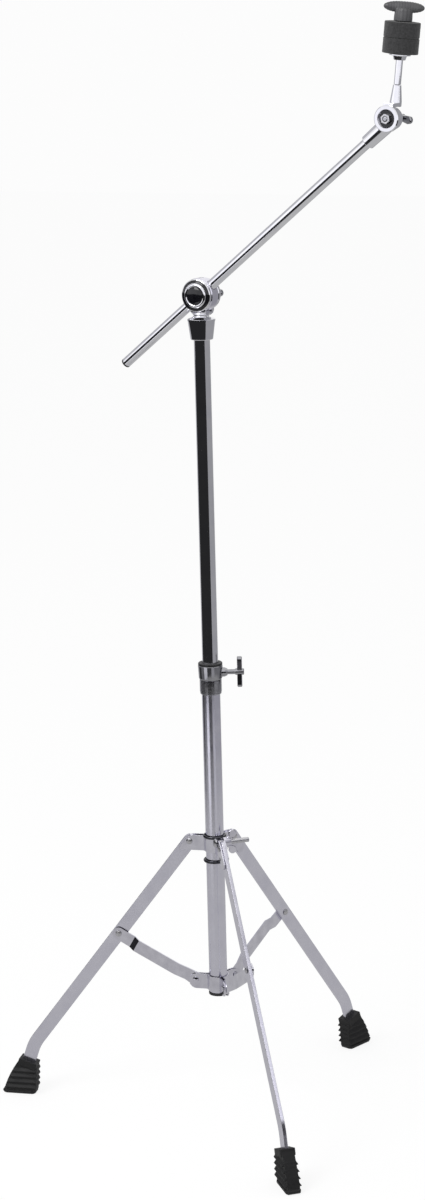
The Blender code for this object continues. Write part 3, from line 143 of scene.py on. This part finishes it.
def rangeOf(tree, links, value, seen, ends):
    span = tree.new("ShaderNodeMapRange")
    span.inputs["From Min"].default_value, span.inputs["From Max"].default_value = seen
    span.inputs["To Min"].default_value, span.inputs["To Max"].default_value = ends
    links.new(value, span.inputs["Value"])
    return span.outputs["Result"]


def mixShades(tree, links, cloud, shades):
    mix = tree.new("ShaderNodeMix")
    mix.data_type = "RGBA"
    for socket, shade in zip(("A", "B"), shades):
        found = next(i for i in mix.inputs if i.name == socket and i.type == "RGBA")
        found.default_value = (*shade, 1.0)
    links.new(rangeOf(tree, links, cloud, surface["shades"], (0.0, 1.0)), mix.inputs["Factor"])
    return next(o for o in mix.outputs if o.type == "RGBA")


def bumpFrom(tree, links, height, strength, below=None):
    bump = tree.new("ShaderNodeBump")
    bump.inputs["Strength"].default_value = strength
    bump.inputs["Distance"].default_value = surface["depth"]
    links.new(height, bump.inputs["Height"])
    if below is not None:
        links.new(below, bump.inputs["Normal"])
    return bump.outputs["Normal"]


def clouded(name, spec, metallic):
    colour = spec["shades"][1] if metallic else spec["shades"][0]
    made, tree, links, shader = newMaterial(name, colour, spec["roughness"][0], metallic)
    place = tree.new("ShaderNodeTexCoord").outputs["Object"]
    cloud = noiseOf(tree, links, "cloud", spec["cloud"], place)
    gloss = rangeOf(tree, links, cloud, surface["gloss"], spec["roughness"])
    links.new(mixShades(tree, links, cloud, spec["shades"]), shader.inputs["Base Color"])
    links.new(gloss, shader.inputs["Roughness"])
    return made, tree, links, shader, place


# Plated finishes: two shades and a range of roughness in clouds of the given scale, a drawn
# grain and fine pits, each of these with its scale and strength
plating = {
    "chrome": dict(shades=((0.76, 0.76, 0.80), (0.84, 0.84, 0.86)), roughness=(0.03, 0.075),
                   cloud=55.0, grain=(2200.0, 0.012), pits=(5200.0, 0.008)),
    "satin_chrome": dict(shades=((0.71, 0.70, 0.79), (0.80, 0.79, 0.87)), roughness=(0.15, 0.25),
                         cloud=40.0, grain=(1700.0, 0.05), pits=(3800.0, 0.03)),
    # chrome darkened all over: a painted dark reflection on the collar, its ribs and the wing
    # bolts
    "chrome_painted_dark_reflection": dict(shades=((0.32, 0.32, 0.34), (0.46, 0.46, 0.48)), roughness=(0.05, 0.1),
                        cloud=90.0, grain=(2200.0, 0.02), pits=(5200.0, 0.01)),
    # chrome darkened nearly to black: a painted shadow of the gap at the bracket's band, with
    # painted dark reflections
    "chrome_painted_black_shade": dict(shades=((0.05, 0.05, 0.06), (0.12, 0.12, 0.13)), roughness=(0.05, 0.1),
                         cloud=120.0, grain=(2200.0, 0.02), pits=(5200.0, 0.01)),
    "bright_plate": dict(shades=((0.64, 0.63, 0.70), (0.78, 0.77, 0.84)), roughness=(0.04, 0.1),
                         cloud=80.0, grain=(1700.0, 0.03), pits=(3800.0, 0.02)),
    "zinc": dict(shades=((0.52, 0.52, 0.56), (0.69, 0.68, 0.68)), roughness=(0.22, 0.42),
                 cloud=260.0, grain=(1500.0, 0.06), pits=(2600.0, 0.1)),
}


def plated(name, spec):
    made, tree, links, shader, place = clouded(name, spec, 1.0)
    drawn = tree.new("ShaderNodeMapping")
    drawn.inputs["Scale"].default_value = surface["drawn"]
    links.new(place, drawn.inputs["Vector"])
    (grainScale, grainStrength), (pitScale, pitStrength) = spec["grain"], spec["pits"]
    grain = noiseOf(tree, links, "grain", grainScale, drawn.outputs["Vector"])
    pits = noiseOf(tree, links, "pits", pitScale, place)
    lines = bumpFrom(tree, links, grain, grainStrength)
    links.new(bumpFrom(tree, links, pits, pitStrength, lines), shader.inputs["Normal"])
    return made


# Moulded and pressed finishes: the same clouds, with one grain over them
moulding = {
    "nylon": dict(shades=((0.014, 0.014, 0.015), (0.028, 0.028, 0.03)), roughness=(0.32, 0.5),
                  cloud=120.0, grain=2600.0, bump=0.15),
    "plastic": dict(shades=((0.075, 0.075, 0.08), (0.125, 0.125, 0.13)), roughness=(0.3, 0.46),
                    cloud=90.0, grain=2400.0, bump=0.25),
    "rubber": dict(shades=((0.004, 0.004, 0.0045), (0.010, 0.010, 0.011)), roughness=(0.45, 0.7),
                   cloud=70.0, grain=1600.0, bump=0.35),
    "felt": dict(shades=((0.022, 0.022, 0.023), (0.055, 0.055, 0.057)), roughness=(0.9, 1.0),
                 cloud=420.0, grain=1900.0, bump=0.9, sheen=0.25),
    # near-black gloss: the cap's black centre, and painted shade on the cap's band and round the
    # end ratchet's nut
    "blackGlossAndPaintedShade": dict(shades=((0.004, 0.004, 0.006), (0.009, 0.009, 0.012)),
                       roughness=(0.05, 0.12), cloud=150.0, grain=2000.0, bump=0.01),
}


def moulded(name, spec):
    made, tree, links, shader, place = clouded(name, spec, 0.0)
    grain = noiseOf(tree, links, "grain", spec["grain"], place)
    links.new(bumpFrom(tree, links, grain, spec["bump"]), shader.inputs["Normal"])
    if "sheen" in spec:
        shader.inputs["Sheen Weight"].default_value = spec["sheen"]
        shader.inputs["Sheen Roughness"].default_value = surface["sheenRoughness"]
    return made


materials = {name: plated(name, spec) for name, spec in plating.items()}
materials.update({name: moulded(name, spec) for name, spec in moulding.items()})


def paint(piece, finish):
    piece.data.materials.clear()
    piece.data.materials.append(materials[finish])


for name, node in nodes.items():
    paint(node, slotOf[name])
print("finishes are on the fixed parts")


def only(piece):
    bpy.ops.object.select_all(action="DESELECT")
    piece.hide_set(False)
    piece.select_set(True)
    bpy.context.view_layer.objects.active = piece


def copyOf(piece, name):
    made = piece.copy()
    made.data = piece.data.copy()
    made.name = made.data.name = name
    scene.collection.objects.link(made)
    return made


def addModifier(piece, kind, **settings):
    made = piece.modifiers.new(kind.title(), kind)
    for key, value in settings.items():
        setattr(made, key, value)


def applyModifiers(piece):
    only(piece)
    for modifier in list(piece.modifiers):
        bpy.ops.object.modifier_apply(modifier=modifier.name)


def standIn(piece, node):
    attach(piece, bodyOf[node])
    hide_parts(node)
    return piece


# Rounded edges for the metal and nylon parts, by how their names start
edging = {
    "bend": 33.0,               # faces that meet at less than this are one surface, degrees
    "bends": {"stay": 26.0},
    "edge": 0.25,               # rounding of a sharp edge, mm
    "edges": {"height_collar": 0.3, "upper_bracket": 0.55, "lower_bracket": 0.55,
              "tilter_base": 0.45, "rod_tilter_arm": 0.45, "boom_end_socket": 0.4,
              "height_wing_bolt": 0.5, "tilter_wing_bolt": 0.5, "end_wing_bolt": 0.5,
              "bracket_wing_nut": 0.4},
    "merge": 0.002, "flat": 0.8,    # doubles, mm, and faces that are one plane, degrees
    "segments": 3,
    # the collar and the wing bolts take chrome darkened as a painted dark reflection
    "finishes": {"height_collar": "chrome_painted_dark_reflection", "height_wing_bolt": "chrome_painted_dark_reflection",
                 "tilter_wing_bolt": "chrome_painted_dark_reflection", "end_wing_bolt": "chrome_painted_dark_reflection",
                 "upper_bracket": "bright_plate", "lower_bracket": "bright_plate",
                 "bracket_wing_nut": "bright_plate", "stay": "bright_plate"},
    "leaveOut": ("lower_felt", "upper_felt", "boom_clamp_cap", "top_wing_nut",
                 "foot_front", "foot_right", "foot_left"),      # these are made anew below
}


def byStart(name, table, otherwise):
    return next((value for start, value in table.items() if name.startswith(start)), otherwise)


def dress(name, spec):
    piece = copyOf(nodes[name], "fine_" + name)
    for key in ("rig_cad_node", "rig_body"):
        del piece[key]
    piece.parent = None
    only(piece)
    bpy.ops.object.mode_set(mode="EDIT")
    bpy.ops.mesh.select_all(action="SELECT")
    bpy.ops.mesh.remove_doubles(threshold=spec["merge"] * mm)
    bpy.ops.mesh.dissolve_limited(angle_limit=radians(spec["flat"]))
    bpy.ops.object.mode_set(mode="OBJECT")
    width = byStart(name, spec["edges"], spec["edge"]) * mm
    bend = radians(byStart(name, spec["bends"], spec["bend"]))
    addModifier(piece, "BEVEL", width=width, segments=spec["segments"], limit_method="ANGLE",
                angle_limit=bend, use_clamp_overlap=True)
    applyModifiers(piece)
    bpy.ops.object.shade_smooth_by_angle(angle=bend)
    addModifier(piece, "WEIGHTED_NORMAL", keep_sharp=True)
    applyModifiers(piece)
    paint(piece, byStart(name, spec["finishes"], slotOf[name]))
    return standIn(piece, name)


pieces = {name: dress(name, edging) for name in nodes if name not in edging["leaveOut"]}
print("edges are rounded on", len(pieces), "pieces")


# Turned pieces grow ring by ring from a circle. Each ring is a radius and a height, metres.
def latheUp(name, rings, around):
    radius, height = rings[0]
    bpy.ops.object.select_all(action="DESELECT")
    bpy.ops.mesh.primitive_circle_add(vertices=around, radius=radius)
    piece = bpy.context.object
    piece.name = piece.data.name = name
    bpy.ops.object.mode_set(mode="EDIT")
    bpy.ops.mesh.select_all(action="SELECT")
    bpy.ops.transform.translate(value=(0.0, 0.0, height))
    for nextRadius, nextHeight in rings[1:]:
        bpy.ops.mesh.extrude_region_move(
            TRANSFORM_OT_translate={"value": (0.0, 0.0, nextHeight - height)})
        scale = nextRadius / radius
        bpy.ops.transform.resize(value=(scale, scale, 1.0), center_override=(0.0, 0.0, nextHeight))
        radius, height = nextRadius, nextHeight
    bpy.ops.object.mode_set(mode="OBJECT")
    return piece


def closeRing(piece):
    only(piece)
    bpy.ops.object.mode_set(mode="EDIT")
    bpy.ops.mesh.select_all(action="SELECT")
    bpy.ops.mesh.remove_doubles(threshold=weld)
    bpy.ops.mesh.normals_make_consistent(inside=False)
    bpy.ops.object.mode_set(mode="OBJECT")
    return piece


def closeSolid(piece):
    only(piece)
    bpy.ops.object.mode_set(mode="EDIT")
    bpy.ops.mesh.select_all(action="DESELECT")
    bpy.ops.mesh.select_non_manifold(extend=False)
    bpy.ops.mesh.fill_holes(sides=0)
    bpy.ops.object.mode_set(mode="OBJECT")
    return closeRing(piece)


def settle(piece, matrix):
    only(piece)
    piece.matrix_world = matrix
    bpy.ops.object.transform_apply(location=True, rotation=True, scale=True)
    return piece


# Pressed felts on the rod's axis, mm
felts = {
    "radius": 19.9, "height": 16.95, "bore": 6.3, "round": 0.9,
    "corner": (0, 30, 60, 90),                     # steps of the rounding, degrees
    "around": 120, "across": 5, "rows": 10, "inside": 4,
    "lumps": (9.0, 0.3), "fibres": (1.1, 0.35),    # size and height of each
    "foot": 0.05,                                  # above its joint's place
}


def standingAt(joint, lift):
    axis = Vector(joints[joint]["axis"])
    turn = axis.to_track_quat("Z", "Y").to_matrix().to_4x4()
    return Matrix.Translation(Vector(joints[joint]["pos_m"]) + axis * lift) @ turn


def roughen(piece, size, height, seed):
    texture = bpy.data.textures.new(f"{piece.name}_{seed}", "CLOUDS")
    texture.noise_scale = size * mm
    texture.noise_depth = 2
    addModifier(piece, "DISPLACE", texture=texture, strength=height * mm, mid_level=0.5,
                texture_coords="LOCAL")


def makeFelt(node, spec):
    radius, top, edge = spec["radius"] * mm, spec["height"] * mm, spec["round"] * mm
    bore, across, rows, inside = spec["bore"] * mm, spec["across"], spec["rows"], spec["inside"]
    corner = [(sin(radians(a)), 1.0 - cos(radians(a))) for a in spec["corner"]]
    low = [(radius - edge + edge * x, edge * y) for x, y in corner]
    high = [(x, top - y) for x, y in reversed(low)]
    under = [(bore + (radius - edge - bore) * i / across, 0.0) for i in range(across + 1)]
    side = [(radius, edge + (top - 2 * edge) * i / rows) for i in range(1, rows)]
    over = [(x, top) for x, _ in reversed(under)]
    wall = [(bore, top * (1 - i / inside)) for i in range(1, inside + 1)]
    rings = under + low[1:] + side + high + over[1:] + wall
    piece = closeRing(latheUp("soft_" + node, rings, spec["around"]))
    settle(piece, standingAt(node + "_spin", spec["foot"] * mm))
    addModifier(piece, "SUBSURF", levels=1, render_levels=1)
    for seed, (size, height) in enumerate((spec["lumps"], spec["fibres"])):
        roughen(piece, size, height, seed)
    applyModifiers(piece)
    bpy.ops.object.shade_smooth()
    paint(piece, "felt")
    standIn(piece, node)
    return piece


for felt in ("lower_felt", "upper_felt"):
    pieces[felt] = makeFelt(felt, felts)
print("felts are made")


# The domed cap on the ratchet: a black band, a bright bead and a black centre inside it. The
# band's black is a painted dark reflection. Each ring is a radius and a height from the cap's
# back, mm.
cap = {
    "around": 128, "smooth": 40.0,
    "side": ((0.4, 0.0), (18.4, 0.0), (19.2, 0.6), (19.3, 2.4), (19.1, 3.0), (18.7, 3.4),
             (18.2, 3.6)),
    "band": ((18.1, 3.5), (17.3, 4.1), (16.0, 4.8), (14.6, 5.3)),
    "bead": ((14.3, 5.3), (14.0, 5.9), (13.3, 6.4), (12.3, 6.7), (11.5, 6.6), (11.0, 6.2)),
    "inlay": ((10.8, 6.2), (9.6, 6.8), (7.8, 7.4), (6.0, 7.8), (4.0, 8.05), (2.0, 8.18),
              (0.4, 8.2)),
}


def makeCap(node, spec):
    rings = [(r * mm, h * mm) for part in ("side", "band", "bead", "inlay") for r, h in spec[part]]
    piece = closeSolid(latheUp("fine_" + node, rings, spec["around"]))
    for finish in ("chrome", "blackGlossAndPaintedShade"):
        piece.data.materials.append(materials[finish])
    # the black band, a painted dark reflection, runs from the side's last ring to its own, and the
    # inlay fills the bead's last one
    black = ((spec["band"][-1][0], spec["side"][-1][0]), (0.0, spec["bead"][-1][0]))
    for face in piece.data.polygons:
        far, height = Vector(face.center).xy.length / mm, face.center.z / mm
        if height > spec["band"][0][1] and any(low <= far <= high for low, high in black):
            face.material_index = 1
    low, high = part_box(node)
    place = ((low.x + high.x) / 2, high.y, (low.z + high.z) / 2)
    settle(piece, Matrix.Translation(place) @ Matrix.Rotation(radians(90.0), 4, "X"))
    bpy.ops.object.shade_smooth_by_angle(angle=radians(spec["smooth"]))
    return standIn(piece, node)


pieces["boom_clamp_cap"] = makeCap("boom_clamp_cap", cap)


# A ring round the mast, of a closed outline in mm, that rides with a node
def ringRound(name, node, rings, around, smooth, finish):
    piece = closeRing(latheUp(name, [(r * mm, h * mm) for r, h in rings], around))
    settle(piece, Matrix.Translation(mast))
    bpy.ops.object.shade_smooth_by_angle(angle=radians(smooth))
    paint(piece, finish)
    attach(piece, bodyOf[node])
    return piece


# Fine ribs round the narrow lower part of the height collar, mm
ribs = {
    "foot": 530.4, "top": 545.7, "count": 9, "inside": 12.6, "valley": 12.95, "crest": 13.3,
    "shares": (0.3, 0.48, 0.82),    # of each pitch: the valley's end, the crest's start and end
    "around": 128, "smooth": 30.0,
}


def ribRings(spec):
    pitch = (spec["top"] - spec["foot"]) / spec["count"]
    flat, rise, fall = spec["shares"]
    rings = [(spec["inside"], spec["foot"])]
    for rib in range(spec["count"]):
        foot = spec["foot"] + rib * pitch
        rings += [(spec["valley"], foot), (spec["valley"], foot + flat * pitch),
                  (spec["crest"], foot + rise * pitch), (spec["crest"], foot + fall * pitch)]
    return rings + [(spec["valley"], spec["top"]), (spec["inside"], spec["top"]), rings[0]]


# the ribs are chrome darkened as a painted dark reflection
pieces["collar_ribs"] = ringRound("fine_collar_ribs", "height_collar", ribRings(ribs),
                                  ribs["around"], ribs["smooth"], "chrome_painted_dark_reflection")


# Rolled rims above and below the sliding bracket's band, mm. Their near-black chrome is a painted
# shadow of the gap between band and tube, with painted dark reflections.
rims = {
    "rings": ((12.4, 0.0), (13.6, 0.1), (14.2, 0.8), (14.4, 1.7), (14.2, 2.6), (13.6, 3.3),
              (12.4, 3.4), (12.4, 0.0)),
    "tall": 3.4, "overlap": 2.2,
    "around": 96, "smooth": 40.0,
}


def makeRims(node, spec):
    low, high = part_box(node)
    under = {"low": low.z / mm - (spec["tall"] - spec["overlap"]),
             "high": high.z / mm - spec["overlap"]}
    for end, foot in under.items():
        rings = [(r, foot + h) for r, h in spec["rings"]]
        pieces["rim_" + end] = ringRound("fine_bracket_rim_" + end, node, rings,
                                         spec["around"], spec["smooth"], "chrome_painted_black_shade")


makeRims("upper_bracket_plate_1", rims)


# The floor round the end ratchet's nut, painted black as painted shade in the recess, mm
endRecess = {
    "node": "rod_tilter_arm", "joint": "rod_tilt", "radius": 9.6,
    "front": -0.5,      # faces that look out have less than this along Y in their normal
}


def paintRecessShade(spec):
    piece, centre = pieces[spec["node"]], Vector(joints[spec["joint"]]["pos_m"])
    piece.data.materials.append(materials["blackGlossAndPaintedShade"])
    for face in piece.data.polygons:
        corners = [piece.data.vertices[i].co - centre for i in face.vertices]
        near = all(Vector((c.x, c.z)).length < spec["radius"] * mm for c in corners)
        if near and face.normal.y < spec["front"]:
            face.material_index = len(piece.data.materials) - 1


paintRecessShade(endRecess)
print("cap, collar ribs, bracket rims and end disc are finished")


# Moulded pieces are cut from outlines, in mm, and melted into one skin
def prism(name, outline, along):
    mesh = bpy.data.meshes.new(name)
    mesh.from_pydata([[v * mm for v in point] for point in outline], [], [range(len(outline))])
    piece = bpy.data.objects.new(name, mesh)
    scene.collection.objects.link(piece)
    only(piece)
    bpy.ops.object.mode_set(mode="EDIT")
    bpy.ops.mesh.select_all(action="SELECT")
    bpy.ops.mesh.extrude_region_move(TRANSFORM_OT_translate={"value": [v * mm for v in along]})
    bpy.ops.object.mode_set(mode="OBJECT")
    return closeSolid(piece)


def mould(parts, name, spec):
    bpy.ops.object.select_all(action="DESELECT")
    for part in parts:
        part.select_set(True)
    bpy.context.view_layer.objects.active = parts[0]
    bpy.ops.object.join()
    piece = bpy.context.object
    piece.name = piece.data.name = name
    addModifier(piece, "REMESH", mode="VOXEL", voxel_size=spec["voxel"] * mm,
                use_smooth_shade=True)
    factor, rounds = spec["soften"]
    addModifier(piece, "SMOOTH", factor=factor, iterations=rounds)
    applyModifiers(piece)
    bpy.ops.object.shade_smooth()
    return piece


# Rubber feet, mm, as radius from the mast and height. The teeth stand out on both sides.
feet = {
    "toe": 281.90, "heel": 238.90, "outer": (257.90, 47.00), "inner": (236.66, 39.89),
    "lean": 18.5,                       # of the leg that enters it, degrees from upright
    "round": 4.5, "bulge": 2.6, "width": 15.0, "steps": 8, "roundSteps": 5,
    "collar": {"width": 18.4, "height": 8.6, "lap": 0.7},
    "sole": {"foot": 0.6, "top": 4.4, "width": 18.6, "corner": 3.0,
             "front": (2.0, 5.0), "back": (4.0, 0.6)},      # its corners, in from toe and heel
    "teeth": {"count": 4, "first": 10.2, "pitch": 7.3, "thick": 4.2, "width": 20.4,
              "slope": 2.4, "tip": (0.2, 1.0), "front": 0.8, "back": 0.9},
    "voxel": 0.5, "soften": (0.5, 3),   # one skin over all, then how far and how often it eases
}


def curve(centre, radius, start, end, steps):
    angles = [radians(start + (end - start) * i / steps) for i in range(steps + 1)]
    return [(centre[0] + radius * cos(a), centre[1] + radius * sin(a)) for a in angles]


def toeAt(height, spec):
    share = height / spec["outer"][1]
    straight = spec["toe"] + (spec["outer"][0] - spec["toe"]) * share
    return straight + spec["bulge"] * sin(pi * share)


def footCore(spec):
    curl, toe, heel, steps = (spec[key] for key in ("round", "toe", "heel", "steps"))
    half, height = spec["width"] / 2, spec["outer"][1]
    side = curve((toe - curl, curl), curl, -90.0, 0.0, spec["roundSteps"])
    side += [(toeAt(height * i / steps, spec), height * i / steps) for i in range(1, steps)]
    side += [Vector(spec["outer"]), Vector(spec["inner"])]
    side += curve((heel + curl, curl), curl, 180.0, 270.0, spec["roundSteps"])
    return prism("footCore", [(x, -half, z) for x, z in side], (0.0, 2 * half, 0.0))


def footCollar(spec):
    outer, inner = Vector(spec["outer"]), Vector(spec["inner"])
    along = Vector((sin(radians(spec["lean"])), -cos(radians(spec["lean"]))))
    across = (outer - inner).normalized()
    lap, tall, wide = (spec["collar"][key] for key in ("lap", "height", "width"))
    high, low = outer + (across - along) * lap, inner - (across + along) * lap
    rim = [high, low, low + along * tall, high + along * tall]
    return prism("footCollar", [(p.x, -wide / 2, p.y) for p in rim], (0.0, wide, 0.0))


def footSole(spec):
    sole, toe, heel = spec["sole"], spec["toe"], spec["heel"]
    half, corner = sole["width"] / 2, sole["width"] / 2 - sole["corner"]
    base = [(toe - sole["front"][0], corner), (toe - sole["front"][1], half),
            (heel + sole["back"][0], half), (heel + sole["back"][1], corner)]
    base += [(x, -y) for x, y in reversed(base)]
    return prism("footSole", [(x, y, sole["foot"]) for x, y in base],
                 (0.0, 0.0, sole["top"] - sole["foot"]))


def footTooth(spec, tooth):
    teeth, inner = spec["teeth"], Vector(spec["inner"])
    out, thick, tip = teeth["width"] / 2, teeth["thick"] / 2, teeth["tip"]
    middle = teeth["first"] + tooth * teeth["pitch"]
    back = spec["heel"] + (inner.x - spec["heel"]) * middle / inner.y - teeth["back"]
    front = toeAt(middle, spec) - teeth["front"]
    edge = [(out, middle - thick), (out - tip[0], middle - thick + tip[1]),
            (out - teeth["slope"], middle + thick)]
    edge += [(-y, z) for y, z in reversed(edge)]
    return prism("footTooth", [(back, y, z) for y, z in edge], (front - back, 0.0, 0.0))


def makeFoot(spec):
    parts = [footCore(spec), footCollar(spec), footSole(spec)]
    parts += [footTooth(spec, tooth) for tooth in range(spec["teeth"]["count"])]
    return mould(parts, "footPattern", spec)


def fitFoot(pattern, node):
    piece = copyOf(pattern, "fine_" + node)
    low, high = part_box(node)
    middle = (low + high) / 2 - mast
    turn = Matrix.Rotation(atan2(middle.y, middle.x), 4, "Z")
    settle(piece, Matrix.Translation(mast) @ turn)
    paint(piece, "rubber")
    return standIn(piece, node)


footPattern = makeFoot(feet)
for foot in ("foot_front", "foot_right", "foot_left"):
    pieces[foot] = fitFoot(footPattern, foot)
bpy.data.objects.remove(footPattern)
print("feet are moulded")


# The moulded wing nut, mm: a fluted hub under a wing shaped like a lens
wingNut = {
    "turn": 30.0,                                   # round its joint's axis, degrees
    "hub": ((0.5, 0.0), (9.3, 0.0), (10.2, 0.7), (10.2, 4.0), (10.0, 8.0), (9.7, 12.0),
            (8.6, 14.5), (0.5, 15.0)),
    "hubAround": 112, "flutes": 14, "flute": 0.5, "fluteFrom": 8.0,
    "span": 45.2, "tall": 12.2, "thick": 8.8, "height": 15.4, "power": 2.7,
    "rows": 52, "reach": 0.998, "wingAround": 72,
    "stripe": 0.22,                                 # height of the fine stripes across the wing
    "stripeTurn": 47.124,                           # of their wave, out to an end, radians
    "voxel": 0.34, "soften": (0.5, 2),
}


def nutHub(spec):
    rings = [(r * mm, h * mm) for r, h in spec["hub"]]
    hub = closeSolid(latheUp("nutHub", rings, spec["hubAround"]))
    for vertex in hub.data.vertices:
        far = vertex.co.xy.length
        if far > spec["fluteFrom"] * mm:
            wave = 0.5 - 0.5 * cos(spec["flutes"] * atan2(vertex.co.y, vertex.co.x))
            vertex.co.xy *= 1.0 - spec["flute"] * mm * wave / far
    return hub


def nutWing(spec):
    rings = []
    for row in range(spec["rows"] + 1):
        x = spec["reach"] * (2 * row / spec["rows"] - 1.0)
        swell = (1.0 - abs(x) ** spec["power"]) ** 0.5
        radius = spec["tall"] / 2 + spec["stripe"] * cos(x * spec["stripeTurn"])
        rings.append((radius * swell * mm, x * spec["span"] / 2 * mm))
    wing = closeSolid(latheUp("nutWing", rings, spec["wingAround"]))
    lift = Matrix.Translation((0.0, 0.0, spec["height"] * mm))
    flatten = Matrix.Diagonal((1.0, spec["thick"] / spec["tall"], 1.0, 1.0))
    return settle(wing, lift @ Matrix.Rotation(radians(90.0), 4, "Y") @ flatten)


def makeWingNut(node, joint, spec):
    piece = mould([nutHub(spec), nutWing(spec)], "fine_" + node, spec)
    axis = Vector(joints[joint]["axis"])
    lean = Vector((0.0, 0.0, 1.0)).rotation_difference(axis).to_matrix().to_4x4()
    turn = Matrix.Rotation(radians(spec["turn"]), 4, "Z")
    settle(piece, Matrix.Translation(joints[joint]["pos_m"]) @ lean @ turn)
    paint(piece, "plastic")
    return standIn(piece, node)


pieces["top_wing_nut"] = makeWingNut("top_wing_nut", "top_nut_turn", wingNut)
print("wing nut is moulded")


studio = {
    "light": 0.55, "backdrop": 0.975,      # the world's strength, for light and where it is seen
    "floorSize": 30.0, "floorColour": (0.93, 0.93, 0.93), "floorRoughness": 0.9,
    # what a kind of ray sees of the floor: its own glow, and how much of the whole that is
    "floor": {"Is Camera Ray": (1.08, 0.8), "Is Glossy Ray": (0.5, 0.9)},
}
keyLamp = {"place": (-1.0, -3.2, 3.2), "aim": (0.0, 0.0, 0.7), "size": (2.0, 2.0), "power": 60.0}


def mathOf(tree, links, operation, first, second):
    made = tree.new("ShaderNodeMath")
    made.operation = operation
    for socket, value in zip(made.inputs, (first, second)):
        if isinstance(value, float):
            socket.default_value = value
        else:
            links.new(value, socket)
    return made.outputs[0]


def makeWorld(spec):
    world = bpy.data.worlds.new("studio")
    scene.world = world
    world.use_nodes = True
    tree, links = world.node_tree.nodes, world.node_tree.links
    backdrop = tree["Background"]
    backdrop.inputs["Color"].default_value = (1.0, 1.0, 1.0, 1.0)
    rays = tree.new("ShaderNodeLightPath").outputs
    seen = mathOf(tree, links, "MAXIMUM", rays["Is Camera Ray"], rays["Is Glossy Ray"])
    seen = mathOf(tree, links, "MAXIMUM", seen, rays["Is Transmission Ray"])
    strength = rangeOf(tree, links, seen, (0.0, 1.0), (spec["light"], spec["backdrop"]))
    links.new(strength, backdrop.inputs["Strength"])


def makeFloor(spec):
    bpy.ops.mesh.primitive_plane_add(size=spec["floorSize"], location=(0.0, 0.0, 0.0))
    floor = bpy.context.object
    floor.name = "floor"
    made, tree, links, shader = newMaterial("paleFloor", spec["floorColour"],
                                            spec["floorRoughness"], 0.0)
    shader.inputs["Specular IOR Level"].default_value = 0.0
    rays = tree.new("ShaderNodeLightPath").outputs
    shown = shader.outputs["BSDF"]
    for ray, (bright, share) in spec["floor"].items():
        shine = tree.new("ShaderNodeEmission")
        shine.inputs["Strength"].default_value = bright
        mix = tree.new("ShaderNodeMixShader")
        links.new(mathOf(tree, links, "MULTIPLY", rays[ray], share), mix.inputs["Fac"])
        links.new(shown, mix.inputs[1])
        links.new(shine.outputs["Emission"], mix.inputs[2])
        shown = mix.outputs["Shader"]
    links.new(shown, tree["Material Output"].inputs["Surface"])
    floor.data.materials.append(made)


def makeLamp(name, spec):
    data = bpy.data.lights.new(name, "AREA")
    data.shape = "RECTANGLE"
    data.size, data.size_y = spec["size"]
    data.energy = spec["power"]
    lamp = bpy.data.objects.new(name, data)
    scene.collection.objects.link(lamp)
    lamp.location = spec["place"]
    ahead = Vector(spec["aim"]) - Vector(spec["place"])
    lamp.rotation_euler = ahead.to_track_quat("-Z", "Y").to_euler()


# Curved glowing cards round the stand that only the metal sees: painted reflections, dark and
# bright. Each has its span round the mast, in degrees from the camera's side to its right, its
# lower and upper edge in metres and its shade.
cards = {
    "away": 1.3, "around": 360,
    "facing": camera["turn"] - 89.2,        # the camera's side, degrees from the X axis
    "tint": (1.0, 1.0, 1.05),
    "parts": {
        "darkCard": (-128.0, 36.0, 0.2, 1.0, 0.022),
        "greyCard": (36.0, 150.0, 0.05, 1.9, 0.34),
        "farCard": (-180.0, -128.0, 0.05, 2.2, 0.5),
        "highCard": (-150.0, -98.0, 1.25, 2.4, 0.55),
        "stripCard": (-88.0, -48.0, 1.0, 1.55, 1.25),
        "frontCard": (-48.0, 70.0, 1.06, 1.6, 1.1),
        "lowLeft": (-128.0, -95.0, 0.03, 0.2, 0.06),
        "lowGrey": (-95.0, -62.0, 0.03, 0.2, 0.25),
        "lowStrip": (-62.0, -32.0, 0.03, 0.2, 1.15),
        "lowDark": (-32.0, 8.0, 0.03, 0.2, 0.1),
        "lowPale": (8.0, 36.0, 0.03, 0.2, 0.6),
    },
}


def turnFrom(facing, point):
    return (degrees(atan2(point.y, point.x)) - facing + 180.0) % 360.0 - 180.0


def bandRound(name, start, end, low, high, spec):
    bpy.ops.mesh.primitive_cylinder_add(vertices=spec["around"], radius=spec["away"],
                                        depth=high - low, end_fill_type="NOTHING",
                                        location=(0.0, 0.0, (low + high) / 2))
    band = bpy.context.object
    band.name = name
    bpy.ops.object.mode_set(mode="EDIT")
    mesh = bmesh.from_edit_mesh(band.data)
    extra = [face for face in mesh.faces
             if not start <= turnFrom(spec["facing"], face.calc_center_median()) <= end]
    bmesh.ops.delete(mesh, geom=extra, context="FACES")
    bmesh.update_edit_mesh(band.data)
    bpy.ops.object.mode_set(mode="OBJECT")
    return band


def makeCards(spec):
    for name, (start, end, low, high, shade) in spec["parts"].items():
        card = bandRound(name, start, end, low, high, spec)
        made, tree, links, shader = newMaterial(name, (0.0, 0.0, 0.0), 1.0, 0.0)
        # each card glows in its shade, a painted reflection that only glossy rays see
        glow = tree.new("ShaderNodeEmission")
        glow.inputs["Color"].default_value = (*(shade * tint for tint in spec["tint"]), 1.0)
        links.new(glow.outputs["Emission"], tree["Material Output"].inputs["Surface"])
        card.data.materials.append(made)
        card.visible_camera = card.visible_diffuse = card.visible_shadow = False
        card.visible_transmission = card.visible_volume_scatter = False


makeWorld(studio)
makeFloor(studio)
makeCards(cards)
makeLamp("keyLamp", keyLamp)
scene.view_settings.view_transform = "Standard"
print("studio is set")
